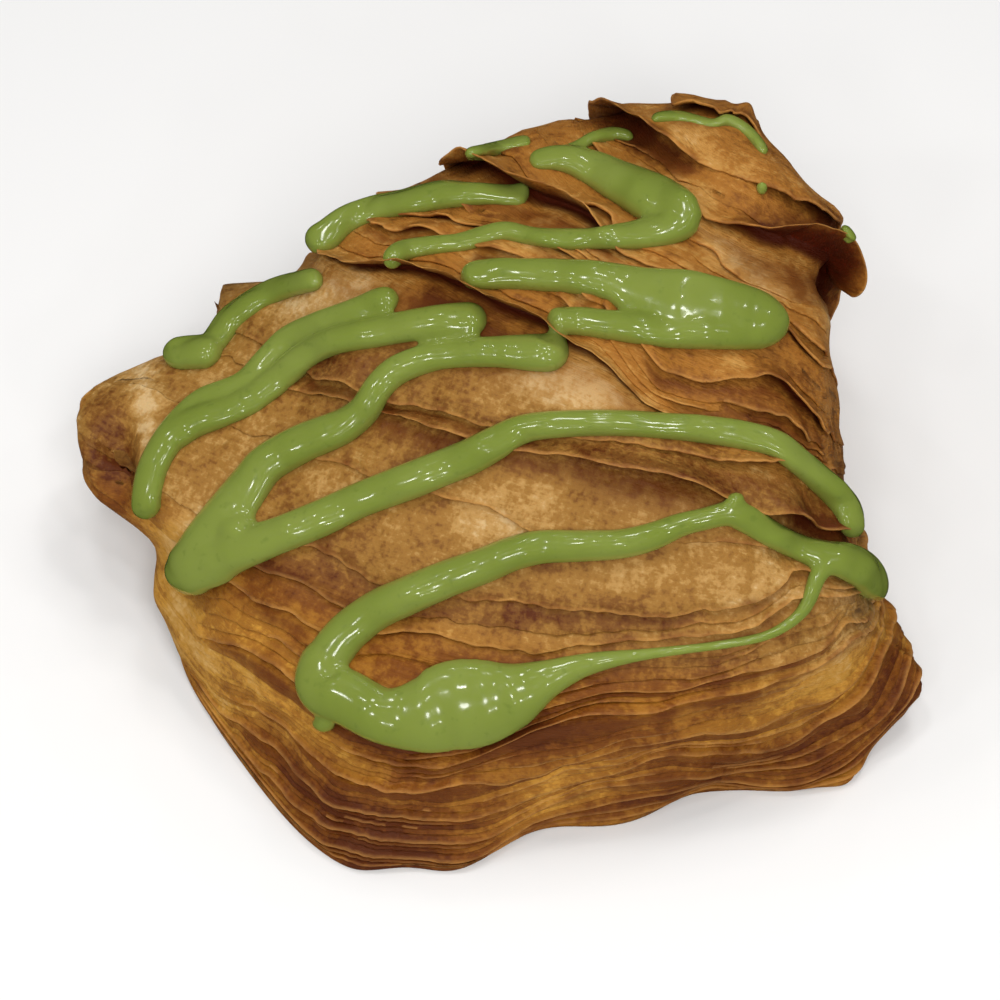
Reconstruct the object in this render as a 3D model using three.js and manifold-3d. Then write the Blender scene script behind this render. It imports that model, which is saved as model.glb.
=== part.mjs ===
// A sfogliatella riccia: a clam-shaped pastry of many thin leaves that open like
// roof tiles from the pointed end down to the wide mouth, with thick pistachio
// drizzle laid across it. Millimetres, +Z up, lying flat on its underside.
// +X runs from the left ear to the right corner and +Y towards the pointed end.

import * as THREE from 'three';
import { mergeVertices } from 'three/addons/utils/BufferGeometryUtils.js';
import Module from 'manifold-3d';

// ---------------------------------------------------------------- dimensions

const WIDTH = 120; // left ear to right corner, along X
const LENGTH = 115.4; // mouth to pointed end, along Y
const HEIGHT = 53.8; // table to the crown
const LEAF = 0.8; // thickness of a sheet at its free edge
const TUCK = 1.2; // how far the narrowest gap reaches under a sheet
const FLATTEN_HEIGHT = 1.6; // below this height the sheets are pressed shut
const EMBED = 1.2; // how deep the drizzle sinks into the pastry
const STRAND_STEP = 5.5; // length of one drizzle segment
const STRAND_RISE = 0.42; // drizzle height for each millimetre of width
const STRAND_RISE_MOST = 2.5;
const COLUMNS_SEEN = 42; // facets round the domed front
const COLUMNS_BEHIND = 9; // facets round the plain back

// Rings round the body, from the pointed end (along = 0) to the underside
// (along = 1). Each passes through four points: its left end, its top or front,
// its right end and its back. "square" draws the ring's corners in to a point.
const RINGS = [
  { along: 0.0, left: [11, 60, 44], front: [14, 57, 46], right: [17, 60, 42], back: [15, 63, 39], square: 1.0 },
  { along: 0.06, left: [4, 58, 43], front: [15, 47, 49], right: [22, 54, 38], back: [14, 63, 26], square: 1.0 },
  { along: 0.15, left: [-3, 55, 40], front: [18, 34, 48], right: [34, 43, 36], back: [12, 59, 8], square: 1.0 },
  { along: 0.3, left: [-22, 42, 37], front: [9, 20, 50], right: [36, 29, 36], back: [8, 53, 0], square: 1.0 },
  { along: 0.42, left: [-37, 26, 32], front: [10, 2, 47], right: [42, 14, 29], back: [5, 47, 0], square: 1.0 },
  { along: 0.55, left: [-48, 10, 24], front: [16, -9, 42], right: [45, 7, 23], back: [2, 42, 0], square: 1.0 },
  { along: 0.7, left: [-52, -9, 19], front: [16, -26, 29], right: [52, 2, 18], back: [1, 36, 0], square: 1.1 },
  { along: 0.8, left: [-47, -14, 13], front: [8, -38, 20], right: [58, 0, 13], back: [1, 32, 0], square: 1.25 },
  { along: 0.9, left: [-44, -19, 7], front: [0, -46, 11], right: [59, -4, 7], back: [1, 28, 0], square: 1.45 },
  { along: 1.0, left: [-40, -22, 0], front: [-4, -51, 0], right: [55, -13, 0], back: [2, 22, 0], square: 1.6 },
];

// Local swellings: a side angle in degrees (0 left, 90 front, 180 right), a
// place along the body, a direction, a height and how far each spreads.
const SWELLINGS = [
  { name: 'ear', angle: 6, along: 0.655, way: [-1, -0.1, 0.1], rise: 9, spread: 12, reach: 0.06 },
  { name: 'knob', angle: -12, along: 0.495, way: [-1, 0.2, 0], rise: 5.5, spread: 8, reach: 0.014 },
  { name: 'corner', angle: 158, along: 0.99, way: [0.5, -1, 0], rise: 3, spread: 10, reach: 0.03 },
  { name: 'hollow', angle: 130, along: 1, way: [-0.3, 1, 0], rise: 5, spread: 14, reach: 0.06 },
  { name: 'flap', angle: 124, along: 0.985, way: [0.3, -1, 0], rise: 5, spread: 6, reach: 0.018 },
];

// The sheets and the drizzle are drawn on a slanted square plan that hangs over
// the pastry, and are thrown onto it from an eye point. The plan's marks run
// from its top left corner, PLAN_MARKS to a side.
const PLAN_SIDE = 135;
const PLAN_MARKS = 1000;
const PLAN_TURN = THREE.MathUtils.degToRad(20);
const PLAN_TILT = THREE.MathUtils.degToRad(52);
const PLAN_CENTRE = new THREE.Vector3(0, -2, 22);
const EYE_DISTANCE = 450;

// Free edges of the sheets, from the pointed end down: marks on the plan, each
// with the gap in millimetres between the sheet and the one below it. "behind"
// is the ring where the edge runs round the back, and "ends" gives edge points
// past the plan's view: side angle, place along the body and gap.
const SHEETS = [
  {
    name: 'curl', behind: 0.045,
    edge: [[668, 103, 1.2], [690, 106, 1.6], [715, 112, 1.2], [735, 122, 0.6], [770, 152, 0.2]],
  },
  {
    name: 'cap_upper', behind: 0.115,
    edge: [[592, 100, 5.5], [616, 105, 6], [650, 123, 5], [675, 143, 3.5], [695, 165, 1.2], [745, 185, 0.2],
      [805, 203, 0.8], [830, 222, 0.4]],
    ends: [[4, 0.19, 3.4], [-16, 0.21, 2.2], [-40, 0.2, 1], [205, 0.12, 0.2]],
  },
  {
    name: 'cap_lower', behind: 0.165,
    edge: [[610, 125, 0], [655, 160, 0], [700, 190, 0.5], [720, 210, 1.5], [745, 220, 3], [790, 222, 6],
      [815, 225, 7], [845, 235, 7], [862, 262, 6], [858, 288, 3.5]],
    ends: [[182, 0.205, 3.4], [200, 0.2, 2.4], [225, 0.19, 1.2]],
  },
  {
    name: 'band_two', behind: 0.29,
    edge: [[440, 158, 5.5], [465, 160, 5.5], [500, 165, 5], [530, 172, 4.5], [560, 185, 4], [600, 215, 2.5],
      [617, 240, 1.5], [650, 262, 0.6], [700, 285, 0.4], [760, 320, 0.4], [805, 362, 0.4], [836, 410, 0.4]],
    ends: [[14, 0.33, 3.2], [-10, 0.34, 1.5], [-34, 0.33, 0.6]],
  },
  {
    name: 'band_three', behind: 0.42,
    edge: [[308, 245, 2.5], [335, 262, 3], [380, 262, 3.5], [440, 268, 4.5], [480, 290, 5], [520, 310, 5],
      [550, 325, 4], [590, 360, 1.8], [640, 395, 0.8], [720, 412, 0.4], [780, 415, 0.4], [838, 445, 0.4]],
    ends: [[-8, 0.445, 2], [-30, 0.45, 1]],
  },
  {
    name: 'band_four', behind: 0.5,
    edge: [[225, 330, 0.5], [310, 370, 1.4], [345, 385, 1.4], [400, 410, 1.6], [470, 432, 1], [535, 440, 0.7],
      [600, 440, 0.6], [700, 455, 0.7], [760, 455, 1.6], [795, 470, 1.4], [845, 500, 0.4]],
  },
  {
    name: 'belly_lip', behind: 0.535,
    edge: [[200, 350, 0.2], [300, 398, 0.3], [400, 430, 0.3], [480, 445, 0.5], [520, 448, 1.2], [600, 460, 3],
      [660, 468, 3.8], [700, 480, 3.2], [725, 495, 1.2], [771, 512, 2.5], [802, 510, 4], [830, 507, 4.5],
      [850, 520, 3]],
  },
  {
    name: 'belly_fold', behind: 0.66,
    edge: [[130, 470, 0.3], [200, 520, 0.4], [313, 546, 0.6], [350, 578, 0.8], [395, 598, 0.7], [460, 612, 0.5],
      [536, 597, 0.6], [610, 614, 0.7], [673, 622, 0.9], [725, 610, 0.8], [774, 590, 0.8], [804, 571, 0.8],
      [850, 560, 0.3]],
  },
  {
    name: 'belly_lower', behind: 0.7,
    edge: [[135, 500, 0.3], [180, 560, 0.5], [222, 592, 0.7], [303, 640, 0.6], [405, 640, 0.6], [540, 660, 0.7],
      [664, 644, 0.8], [736, 633, 0.8], [774, 614, 0.8], [800, 592, 0.6], [860, 575, 0.3]],
  },
  {
    name: 'stack_one', behind: 0.75,
    edge: [[145, 540, 0.3], [190, 600, 0.6], [242, 650, 0.7], [300, 690, 0.8], [360, 720, 0.8], [440, 720, 0.8],
      [536, 707, 0.9], [653, 682, 0.8], [774, 647, 0.8], [823, 633, 0.8], [860, 600, 0.5], [885, 590, 0.3]],
  },
  {
    name: 'stack_two', behind: 0.79,
    edge: [[150, 560, 0.3], [180, 620, 0.8], [230, 680, 1], [300, 722, 1.2], [366, 745, 1.6], [432, 758, 2.2],
      [490, 748, 3.2], [555, 728, 3.4], [610, 711, 3], [653, 705, 2.4], [719, 694, 1.4], [815, 675, 0.8],
      [870, 630, 0.6], [892, 605, 0.3]],
  },
  {
    name: 'stack_three', behind: 0.85,
    edge: [[160, 600, 0.4], [200, 670, 0.8], [247, 716, 1.2], [352, 778, 1.6], [420, 788, 1.4], [480, 786, 1.2],
      [545, 772, 1], [600, 762, 0.9], [719, 731, 0.9], [829, 699, 1], [867, 677, 1.2], [900, 625, 0.6]],
  },
  {
    name: 'stack_four', behind: 0.9,
    edge: [[170, 620, 0.4], [215, 700, 1], [306, 757, 1.6], [352, 800, 1.8], [425, 820, 1.6], [512, 820, 1],
      [578, 803, 0.9], [640, 780, 0.9], [720, 762, 0.9], [790, 745, 1.4], [843, 721, 2.4], [876, 701, 3],
      [892, 677, 3], [905, 644, 1.6]],
  },
  {
    name: 'stack_five', behind: 0.95,
    edge: [[175, 635, 0.3], [225, 730, 0.8], [300, 800, 1.2], [350, 842, 1.2], [400, 848, 1.2], [480, 840, 1],
      [560, 818, 0.8], [720, 778, 0.9], [800, 765, 1.2], [850, 748, 1.6], [884, 726, 2], [908, 690, 2],
      [914, 655, 1]],
  },
];

// Middle lines of the drizzle: marks on the plan, each with the strand's width
// there in millimetres.
const STRANDS = [
  [[168, 355, 3.6], [195, 349, 4.2], [225, 345, 3.4]],
  [[212, 345, 3.6], [225, 320, 3.8], [250, 300, 4], [290, 285, 4], [325, 277, 3.4]],
  [[140, 508, 3.6], [150, 460, 4.2], [175, 425, 4.6], [205, 405, 4.2], [240, 385, 3.8], [265, 355, 3.8],
    [300, 325, 3.6], [345, 310, 3.6], [400, 298, 3.6]],
  [[205, 425, 3.6], [260, 395, 4], [300, 355, 4], [350, 335, 4], [410, 325, 4.2], [475, 320, 4.8]],
  [[188, 580, 6], [202, 540, 6], [225, 500, 5.6], [265, 455, 4.8], [330, 425, 4.6], [365, 395, 4.6],
    [400, 368, 4.4], [440, 355, 4.4], [490, 350, 4.6], [560, 352, 4.8]],
  [[195, 575, 6], [240, 550, 5.6], [300, 525, 4.6], [360, 500, 4.4], [420, 475, 4.4], [470, 450, 4.6],
    [500, 430, 4.4], [560, 420, 4.2], [640, 422, 4.2], [700, 430, 4.2], [760, 440, 4.2], [800, 465, 4.6],
    [840, 490, 4.6], [857, 515, 4.2], [855, 538, 3.2]],
  [[312, 668, 6], [340, 625, 5.2], [400, 590, 4.6], [460, 565, 4.4], [510, 545, 4.6], [560, 540, 4.6],
    [620, 540, 4.4], [660, 530, 4], [700, 518, 4], [740, 515, 4.2], [780, 540, 4.4], [830, 555, 4.6],
    [868, 575, 4.6], [882, 596, 3.2]],
  [[312, 668, 6.2], [322, 698, 6.4], [355, 715, 6], [400, 722, 7], [440, 712, 9], [490, 697, 9],
    [530, 685, 6.4], [570, 672, 4.6], [620, 660, 3.4], [700, 645, 2.6], [760, 632, 2.4], [800, 606, 2.6],
    [816, 580, 2.8], [845, 560, 3]],
  [[315, 238, 4], [340, 218, 4.6], [400, 200, 5], [450, 190, 4.6], [515, 190, 4.4]],
  [[388, 260, 2.8], [410, 245, 3], [450, 240, 3], [490, 230, 3.4], [540, 235, 3.4], [600, 240, 3.6],
    [650, 230, 5], [676, 210, 6.4], [655, 188, 6.4], [605, 168, 5], [565, 161, 4], [530, 160, 3]],
  [[465, 272, 4], [520, 268, 4.6], [600, 278, 5.4], [660, 296, 7], [715, 312, 8], [765, 322, 6]],
  [[715, 326, 5], [660, 330, 5], [600, 328, 4.4], [552, 320, 3.6]],
];

// ------------------------------------------------------------- body surface

const TURN = Math.PI * 2;
const RING_COORDS = ['left', 'front', 'right', 'back'];
const RING_ROWS = RINGS.map((ring) => [...RING_COORDS.flatMap((key) => ring[key]), ring.square]);
const RING_SLOPES = ringSlopes();

// Slopes of every ring value along the body, for a smooth curve through them.
function ringSlopes() {
  const last = RINGS.length - 1;
  const slope = (i) => RING_ROWS[0].map(
    (_, c) => (RING_ROWS[i + 1][c] - RING_ROWS[i][c]) / (RINGS[i + 1].along - RINGS[i].along),
  );
  return RINGS.map((_, i) => {
    const before = slope(Math.max(i - 1, 0));
    const after = slope(Math.min(i, last - 1));
    return before.map((value, c) => (value + after[c]) / 2);
  });
}

// The thirteen ring values at any place along the body (cubic Hermite).
function ringAt(along) {
  let i = 0;
  while (i < RINGS.length - 2 && along >= RINGS[i + 1].along) i += 1;
  const span = RINGS[i + 1].along - RINGS[i].along;
  const t = (along - RINGS[i].along) / span;
  const h = [2 * t ** 3 - 3 * t ** 2 + 1, t ** 3 - 2 * t ** 2 + t, 3 * t ** 2 - 2 * t ** 3, t ** 3 - t ** 2];
  return RING_ROWS[i].map((value, c) => h[0] * value + h[1] * span * RING_SLOPES[i][c]
    + h[2] * RING_ROWS[i + 1][c] + h[3] * span * RING_SLOPES[i + 1][c]);
}

// A point of the bare body. angle is the side angle in radians.
function bodyPoint(along, angle) {
  const v = ringAt(along);
  const left = new THREE.Vector3(...v.slice(0, 3));
  const front = new THREE.Vector3(...v.slice(3, 6));
  const right = new THREE.Vector3(...v.slice(6, 9));
  const back = new THREE.Vector3(...v.slice(9, 12));
  const centre = left.clone().add(right).multiplyScalar(0.5);
  const halfAcross = right.clone().sub(left).multiplyScalar(0.5);
  const across = Math.sign(Math.cos(angle)) * Math.abs(Math.cos(angle)) ** v[12];
  const outward = Math.abs(Math.sin(angle)) ** v[12];
  const crest = Math.sin(angle) > 0 ? front : back;
  const point = centre.clone().addScaledVector(halfAcross, -across);
  point.addScaledVector(crest.clone().sub(centre), outward);
  for (const swelling of SWELLINGS) {
    const turned = Math.abs(angle - THREE.MathUtils.degToRad(swelling.angle)) % TURN;
    const off = Math.min(turned, TURN - turned) / THREE.MathUtils.degToRad(swelling.spread);
    const away = (along - swelling.along) / swelling.reach;
    const rise = swelling.rise * Math.exp(-(off ** 2 + away ** 2) / 2);
    point.addScaledVector(new THREE.Vector3(...swelling.way), rise);
  }
  point.z = Math.max(point.z, 0);
  return point;
}

// Point, outward normal and millimetres per unit of "along" on the bare body.
function bodyFrame(along, angle) {
  const nudge = 1e-3;
  const from = THREE.MathUtils.clamp(along - nudge, 0, 1);
  const to = THREE.MathUtils.clamp(along + nudge, 0, 1);
  const down = bodyPoint(to, angle).sub(bodyPoint(from, angle)).divideScalar(to - from);
  const round = bodyPoint(along, angle + nudge).sub(bodyPoint(along, angle - nudge));
  return {
    point: bodyPoint(along, angle),
    normal: down.clone().cross(round).normalize(),
    speed: down.length(),
  };
}

// ------------------------------------------------------------ drawing plan

const LOOK = new THREE.Vector3(
  -Math.sin(PLAN_TURN) * Math.cos(PLAN_TILT),
  Math.cos(PLAN_TURN) * Math.cos(PLAN_TILT),
  -Math.sin(PLAN_TILT),
);
const PLAN_ACROSS = new THREE.Vector3(Math.cos(PLAN_TURN), Math.sin(PLAN_TURN), 0);
const PLAN_UP = PLAN_ACROSS.clone().cross(LOOK);
const EYE = PLAN_CENTRE.clone().addScaledVector(LOOK, -EYE_DISTANCE);
const MARK = PLAN_SIDE / PLAN_MARKS;

// Marks on the plan of a point of the pastry.
function marksOf(point) {
  const from = point.clone().sub(EYE);
  const scale = EYE_DISTANCE / from.dot(LOOK) / MARK;
  return [PLAN_MARKS / 2 + from.dot(PLAN_ACROSS) * scale, PLAN_MARKS / 2 - from.dot(PLAN_UP) * scale];
}

// Direction from the eye through a mark of the plan.
function throughMark(x, y) {
  return LOOK.clone().multiplyScalar(EYE_DISTANCE)
    .addScaledVector(PLAN_ACROSS, (x - PLAN_MARKS / 2) * MARK)
    .addScaledVector(PLAN_UP, (PLAN_MARKS / 2 - y) * MARK)
    .normalize();
}

// The body's points that face the eye, to find a mark's side angle and place.
function facingGrid() {
  const grid = [];
  for (let degrees = -50; degrees <= 230; degrees += 2) {
    for (let step = 0; step <= 160; step += 1) {
      const angle = THREE.MathUtils.degToRad(degrees);
      const along = step / 160;
      const { point, normal } = bodyFrame(along, angle);
      if (normal.dot(point.clone().sub(EYE).normalize()) < 0.15) grid.push({ degrees, along, point, normal });
    }
  }
  return grid;
}

function placeOnBody(grid, [x, y, gap]) {
  let best = null;
  let least = Infinity;
  for (const spot of grid) {
    const [u, v] = marksOf(spot.point.clone().addScaledVector(spot.normal, LEAF + gap));
    const miss = (u - x) ** 2 + (v - y) ** 2;
    if (miss < least) {
      least = miss;
      best = spot;
    }
  }
  return [best.degrees, best.along, gap];
}

// ------------------------------------------------------------------- sheets

const BEHIND_GAP = 0.3; // gap where an edge runs round the back
const BEHIND_REACH = 45; // degrees over which an edge settles into the back

// Values round the body at each whole degree, smoothed, from points in degrees.
function closedCurve(points, column, behind) {
  const sorted = [...points].sort((a, b) => a[0] - b[0]);
  const first = sorted[0][0];
  const last = sorted[sorted.length - 1][0];
  const knots = [[first - BEHIND_REACH, behind], ...sorted.map((p) => [p[0], p[column]]), [last + BEHIND_REACH, behind]];
  const raw = Array.from({ length: 360 }, (_, degree) => {
    const angle = degree > last + BEHIND_REACH ? degree - 360 : degree;
    if (angle <= knots[0][0] || angle >= knots[knots.length - 1][0]) return behind;
    const next = knots.findIndex((knot) => knot[0] > angle);
    const [a, from] = knots[next - 1];
    const [b, to] = knots[next];
    return from + ((to - from) * (angle - a)) / Math.max(b - a, 1e-6);
  });
  const blur = [1, 2, 3, 2, 1];
  const total = blur.reduce((sum, weight) => sum + weight, 0);
  return raw.map((_, degree) => blur.reduce(
    (sum, weight, i) => sum + weight * raw[(degree + i - 2 + 360) % 360],
    0,
  ) / total);
}

function valueAt(curve, degrees) {
  const place = ((degrees % 360) + 360) % 360;
  const low = Math.floor(place) % 360;
  const share = place - Math.floor(place);
  return curve[low] * (1 - share) + curve[(low + 1) % 360] * share;
}

function sheetCurves() {
  const grid = facingGrid();
  return SHEETS.map((sheet) => {
    const points = [...sheet.edge.map((mark) => placeOnBody(grid, mark)), ...(sheet.ends ?? [])];
    return { along: closedCurve(points, 1, sheet.behind), gap: closedCurve(points, 2, BEHIND_GAP) };
  });
}

// ---------------------------------------------------------------- leafy body

const LEAST_SPACING = 0.014; // least share of the body between two edges
const EDGE_SPLIT = 0.0022; // spacing of an edge's rows where it is shut
const VISIBLE_ROW = 9; // millimetres of sheet for each row of facets
const MOST_ROWS = 3;
const CURL = 1.8; // how late a sheet lifts towards its free edge

function columnDegrees() {
  const seen = Array.from({ length: COLUMNS_SEEN }, (_, i) => -30 + (240 * i) / COLUMNS_SEEN);
  const behind = Array.from({ length: COLUMNS_BEHIND }, (_, i) => 210 + (120 * i) / COLUMNS_BEHIND);
  return [...seen, ...behind];
}

// Places of all edges on one column, kept in order and apart.
function edgesOnColumn(curves, degrees) {
  const along = curves.map((curve) => valueAt(curve.along, degrees));
  for (let k = 1; k < along.length; k += 1) along[k] = Math.max(along[k], along[k - 1] + LEAST_SPACING);
  const last = along.length - 1;
  along[last] = Math.min(along[last], 1 - LEAST_SPACING);
  for (let k = last - 1; k >= 0; k -= 1) along[k] = Math.min(along[k], along[k + 1] - LEAST_SPACING);
  return along;
}

// One sheet on one column: where it starts and ends, how far its edge stands
// off the body, its thickness there, and how far the gap under it reaches.
function sheetOnColumn(curve, start, end, angle) {
  const { point, normal, speed } = bodyFrame(end, angle);
  const gap = valueAt(curve.gap, THREE.MathUtils.radToDeg(angle));
  const clear = THREE.MathUtils.clamp((point.z - 0.2) / FLATTEN_HEIGHT, 0, 1);
  const notUnder = THREE.MathUtils.clamp((normal.z + 0.95) / 0.5, 0, 1);
  const open = THREE.MathUtils.smoothstep(clear * notUnder, 0, 1);
  const reach = Math.min((TUCK + 2 * gap) / speed, 0.75 * (end - start));
  return { start, end, open, off: (LEAF + gap) * open, thick: LEAF * open, reach: reach * open };
}

const liftAt = (sheet, along) => sheet.off
  * THREE.MathUtils.clamp((along - sheet.start) / (sheet.end - sheet.start), 0, 1) ** CURL;

// Rows of one sheet as [along, offset]: its face, its edge and the gap below.
function sheetRows(sheet, rows) {
  const split = EDGE_SPLIT * (1 - sheet.open);
  const face = Array.from({ length: rows }, (_, i) => {
    const along = sheet.start + ((sheet.end - split * 2 - sheet.start) * (i + 1)) / rows;
    return [along, liftAt(sheet, along)];
  });
  const root = sheet.end - sheet.reach;
  return [
    ...face,
    [sheet.end - split, Math.max(sheet.off - sheet.thick, 0)],
    [root, liftAt(sheet, root) - sheet.thick],
    [sheet.end + EDGE_SPLIT, 0],
  ];
}

function leafyBody() {
  const curves = sheetCurves();
  const degrees = columnDegrees();
  const angles = degrees.map((d) => THREE.MathUtils.degToRad(d));
  const places = degrees.map((d) => edgesOnColumn(curves, d));
  const widest = curves.map((_, k) => Math.max(...places.map((along, c) => {
    const start = k === 0 ? 0 : along[k - 1];
    return (along[k] - start) * bodyFrame(along[k], angles[c]).speed;
  })));
  const rowCounts = widest.map((width) => THREE.MathUtils.clamp(Math.round(width / VISIBLE_ROW), 1, MOST_ROWS));
  const columns = angles.map((angle, c) => {
    const rows = [[0, 0]];
    curves.forEach((curve, k) => {
      const start = k === 0 ? 0 : places[c][k - 1] + EDGE_SPLIT;
      rows.push(...sheetRows(sheetOnColumn(curve, start, places[c][k], angle), rowCounts[k]));
    });
    rows.push([1, 0]);
    return rows.map(([along, offset]) => {
      const { point, normal } = bodyFrame(along, angle);
      point.addScaledVector(normal, offset);
      point.z = Math.max(point.z, 0);
      return point;
    });
  });
  return closedSkin(columns);
}

// A closed surface from columns of points, with a fan over each end.
function closedSkin(columns) {
  const rows = columns[0].length;
  const positions = columns.flatMap((column) => column.flatMap((p) => [p.x, p.y, p.z]));
  const at = (c, r) => (c % columns.length) * rows + r;
  const middleOf = (r) => {
    const sum = columns.reduce((total, column) => total.add(column[r]), new THREE.Vector3());
    sum.divideScalar(columns.length);
    positions.push(sum.x, sum.y, sum.z);
    return positions.length / 3 - 1;
  };
  const top = middleOf(0);
  const bottom = middleOf(rows - 1);
  const faces = [];
  for (let c = 0; c < columns.length; c += 1) {
    faces.push(top, at(c, 0), at(c + 1, 0));
    faces.push(bottom, at(c + 1, rows - 1), at(c, rows - 1));
    for (let r = 0; r < rows - 1; r += 1) {
      faces.push(at(c, r), at(c, r + 1), at(c + 1, r + 1));
      faces.push(at(c, r), at(c + 1, r + 1), at(c + 1, r));
    }
  }
  const geometry = new THREE.BufferGeometry();
  geometry.setAttribute('position', new THREE.Float32BufferAttribute(positions, 3));
  geometry.setIndex(faces);
  return geometry;
}

// ------------------------------------------------------------------ drizzle

// Points of one strand on the pastry, at even steps, with normal and width.
function strandPath(marks, raycaster, target) {
  const line = new THREE.CatmullRomCurve3(marks.map(([x, y]) => new THREE.Vector3(x, y, 0)), false, 'centripetal');
  const steps = Math.max(2, Math.round((line.getLength() * MARK) / STRAND_STEP));
  const path = [];
  for (let i = 0; i <= steps; i += 1) {
    const t = line.getUtoTmapping(i / steps);
    const { x, y } = line.getPoint(t);
    const place = t * (marks.length - 1);
    const low = Math.min(Math.floor(place), marks.length - 2);
    const width = THREE.MathUtils.lerp(marks[low][2], marks[low + 1][2], place - low);
    raycaster.set(EYE, throughMark(x, y));
    const [hit] = raycaster.intersectObject(target);
    if (hit) path.push({ ray: throughMark(x, y), distance: hit.distance, normal: hit.face.normal.clone(), width });
  }
  return path;
}

// The strand bridges the gaps between sheets, so its depth is evened out.
function levelPath(path) {
  const levelled = path.map((spot, i) => {
    const before = path[Math.max(i - 1, 0)];
    const after = path[Math.min(i + 1, path.length - 1)];
    const even = (before.distance + 2 * spot.distance + after.distance) / 4;
    const normal = before.normal.clone().add(after.normal).add(spot.normal).addScaledVector(LOOK, -1.2).normalize();
    return { ...spot, distance: Math.min(even, spot.distance + 0.5), normal };
  });
  return levelled.map((spot) => ({ ...spot, point: EYE.clone().addScaledVector(spot.ray, spot.distance) }));
}

// Six-sided section of a strand: [share of width, share of rise, share of depth].
const SECTION = [[-0.5, 0.15, 0], [-0.3, 0.85, 0], [0.3, 0.85, 0], [0.5, 0.15, 0], [0.3, 0, 1], [-0.3, 0, 1]];
const TIP_SHRINK = 0.45; // width of a strand's end ring, as a share

function strandGeometry(marks, raycaster, target) {
  const path = levelPath(strandPath(marks, raycaster, target));
  const last = path.length - 1;
  const rings = path.map((spot, i) => {
    const tangent = path[Math.min(i + 1, last)].point.clone().sub(path[Math.max(i - 1, 0)].point).normalize();
    const side = tangent.clone().cross(spot.normal).normalize();
    const up = side.clone().cross(tangent).normalize();
    const share = i === 0 || i === last ? TIP_SHRINK : 1;
    const width = spot.width * share;
    const rise = Math.min(spot.width * STRAND_RISE, STRAND_RISE_MOST) * (0.4 + 0.6 * share);
    return SECTION.map(([w, h, d]) => spot.point.clone()
      .addScaledVector(side, w * width)
      .addScaledVector(up, h * rise - d * EMBED));
  });
  const columns = SECTION.map((_, c) => rings.map((ring) => ring[c]));
  return closedSkin(columns.reverse());
}

// --------------------------------------------------------------- one solid

const wasm = await Module();
wasm.setup();

function toSolid(geometry) {
  const shared = mergeVertices(geometry, 1e-4);
  return new wasm.Manifold(new wasm.Mesh({
    numProp: 3,
    vertProperties: new Float32Array(shared.getAttribute('position').array),
    triVerts: new Uint32Array(shared.index.array),
  }));
}

function fromSolid(solid) {
  const { vertProperties, triVerts } = solid.getMesh();
  const geometry = new THREE.BufferGeometry();
  geometry.setAttribute('position', new THREE.BufferAttribute(new Float32Array(vertProperties), 3));
  geometry.setIndex(new THREE.BufferAttribute(new Uint32Array(triVerts), 1));
  return geometry;
}

// The outer size is exact, and the origin is under the middle of the pastry.
function fittedToSize(geometry) {
  geometry.computeBoundingBox();
  const { min, max } = geometry.boundingBox;
  geometry.translate(-(min.x + max.x) / 2, -(min.y + max.y) / 2, -min.z);
  return geometry.scale(WIDTH / (max.x - min.x), LENGTH / (max.y - min.y), HEIGHT / (max.z - min.z));
}

function sfogliatellaGeometry() {
  const body = leafyBody();
  const target = new THREE.Mesh(body, new THREE.MeshBasicMaterial({ side: THREE.DoubleSide }));
  const raycaster = new THREE.Raycaster();
  const strands = STRANDS.map((marks) => toSolid(strandGeometry(marks, raycaster, target)));
  const joined = strands.reduce((solid, strand) => solid.add(strand), toSolid(body));
  // Joining can leave a loose scrap or a sealed pocket, and the largest shell is the pastry.
  const whole = joined.decompose().reduce((a, b) => (b.volume() > a.volume() ? b : a));
  return fittedToSize(fromSolid(whole));
}

const crust = new THREE.MeshStandardMaterial({ color: 0xb9773a, roughness: 0.6, metalness: 0 });
const sfogliatella = new THREE.Mesh(sfogliatellaGeometry(), crust);
sfogliatella.name = 'sfogliatella';

const pastry = new THREE.Group();
pastry.add(sfogliatella);

export default pastry;
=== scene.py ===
"""A sfogliatella riccia with pistachio drizzle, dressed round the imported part.

The pastry is one surface, kept as two closed meshes: a body lofted through rings, with thin sheets
that stand off it like roof tiles. The drizzle is laid on it along the camera's lines of sight, and
fused into one smooth mesh.
Shapes are worked out in millimetres in the rings' own frame, and pushed into the part's frame, in
metres, at the end. Places on the pastry are marks (x, y) of the 1000 x 1000 picture frame.
"""

import math
from collections import namedtuple
from types import SimpleNamespace

import bpy
import numpy as np
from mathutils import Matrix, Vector
from mathutils.bvhtree import BVHTree


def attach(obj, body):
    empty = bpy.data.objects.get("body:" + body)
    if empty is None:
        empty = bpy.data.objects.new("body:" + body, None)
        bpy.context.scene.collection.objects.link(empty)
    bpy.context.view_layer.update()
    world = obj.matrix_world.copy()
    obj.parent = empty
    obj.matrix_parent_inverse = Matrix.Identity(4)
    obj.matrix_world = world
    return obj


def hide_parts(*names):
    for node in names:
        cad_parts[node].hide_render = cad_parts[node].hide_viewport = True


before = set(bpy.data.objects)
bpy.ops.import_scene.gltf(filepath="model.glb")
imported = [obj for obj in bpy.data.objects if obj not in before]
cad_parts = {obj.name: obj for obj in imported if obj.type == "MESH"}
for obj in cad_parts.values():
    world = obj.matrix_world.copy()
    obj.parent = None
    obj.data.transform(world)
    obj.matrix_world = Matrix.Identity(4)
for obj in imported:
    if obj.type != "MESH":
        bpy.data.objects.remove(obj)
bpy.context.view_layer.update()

# ------------------------------------------------------------------ sizes, in millimetres

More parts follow.
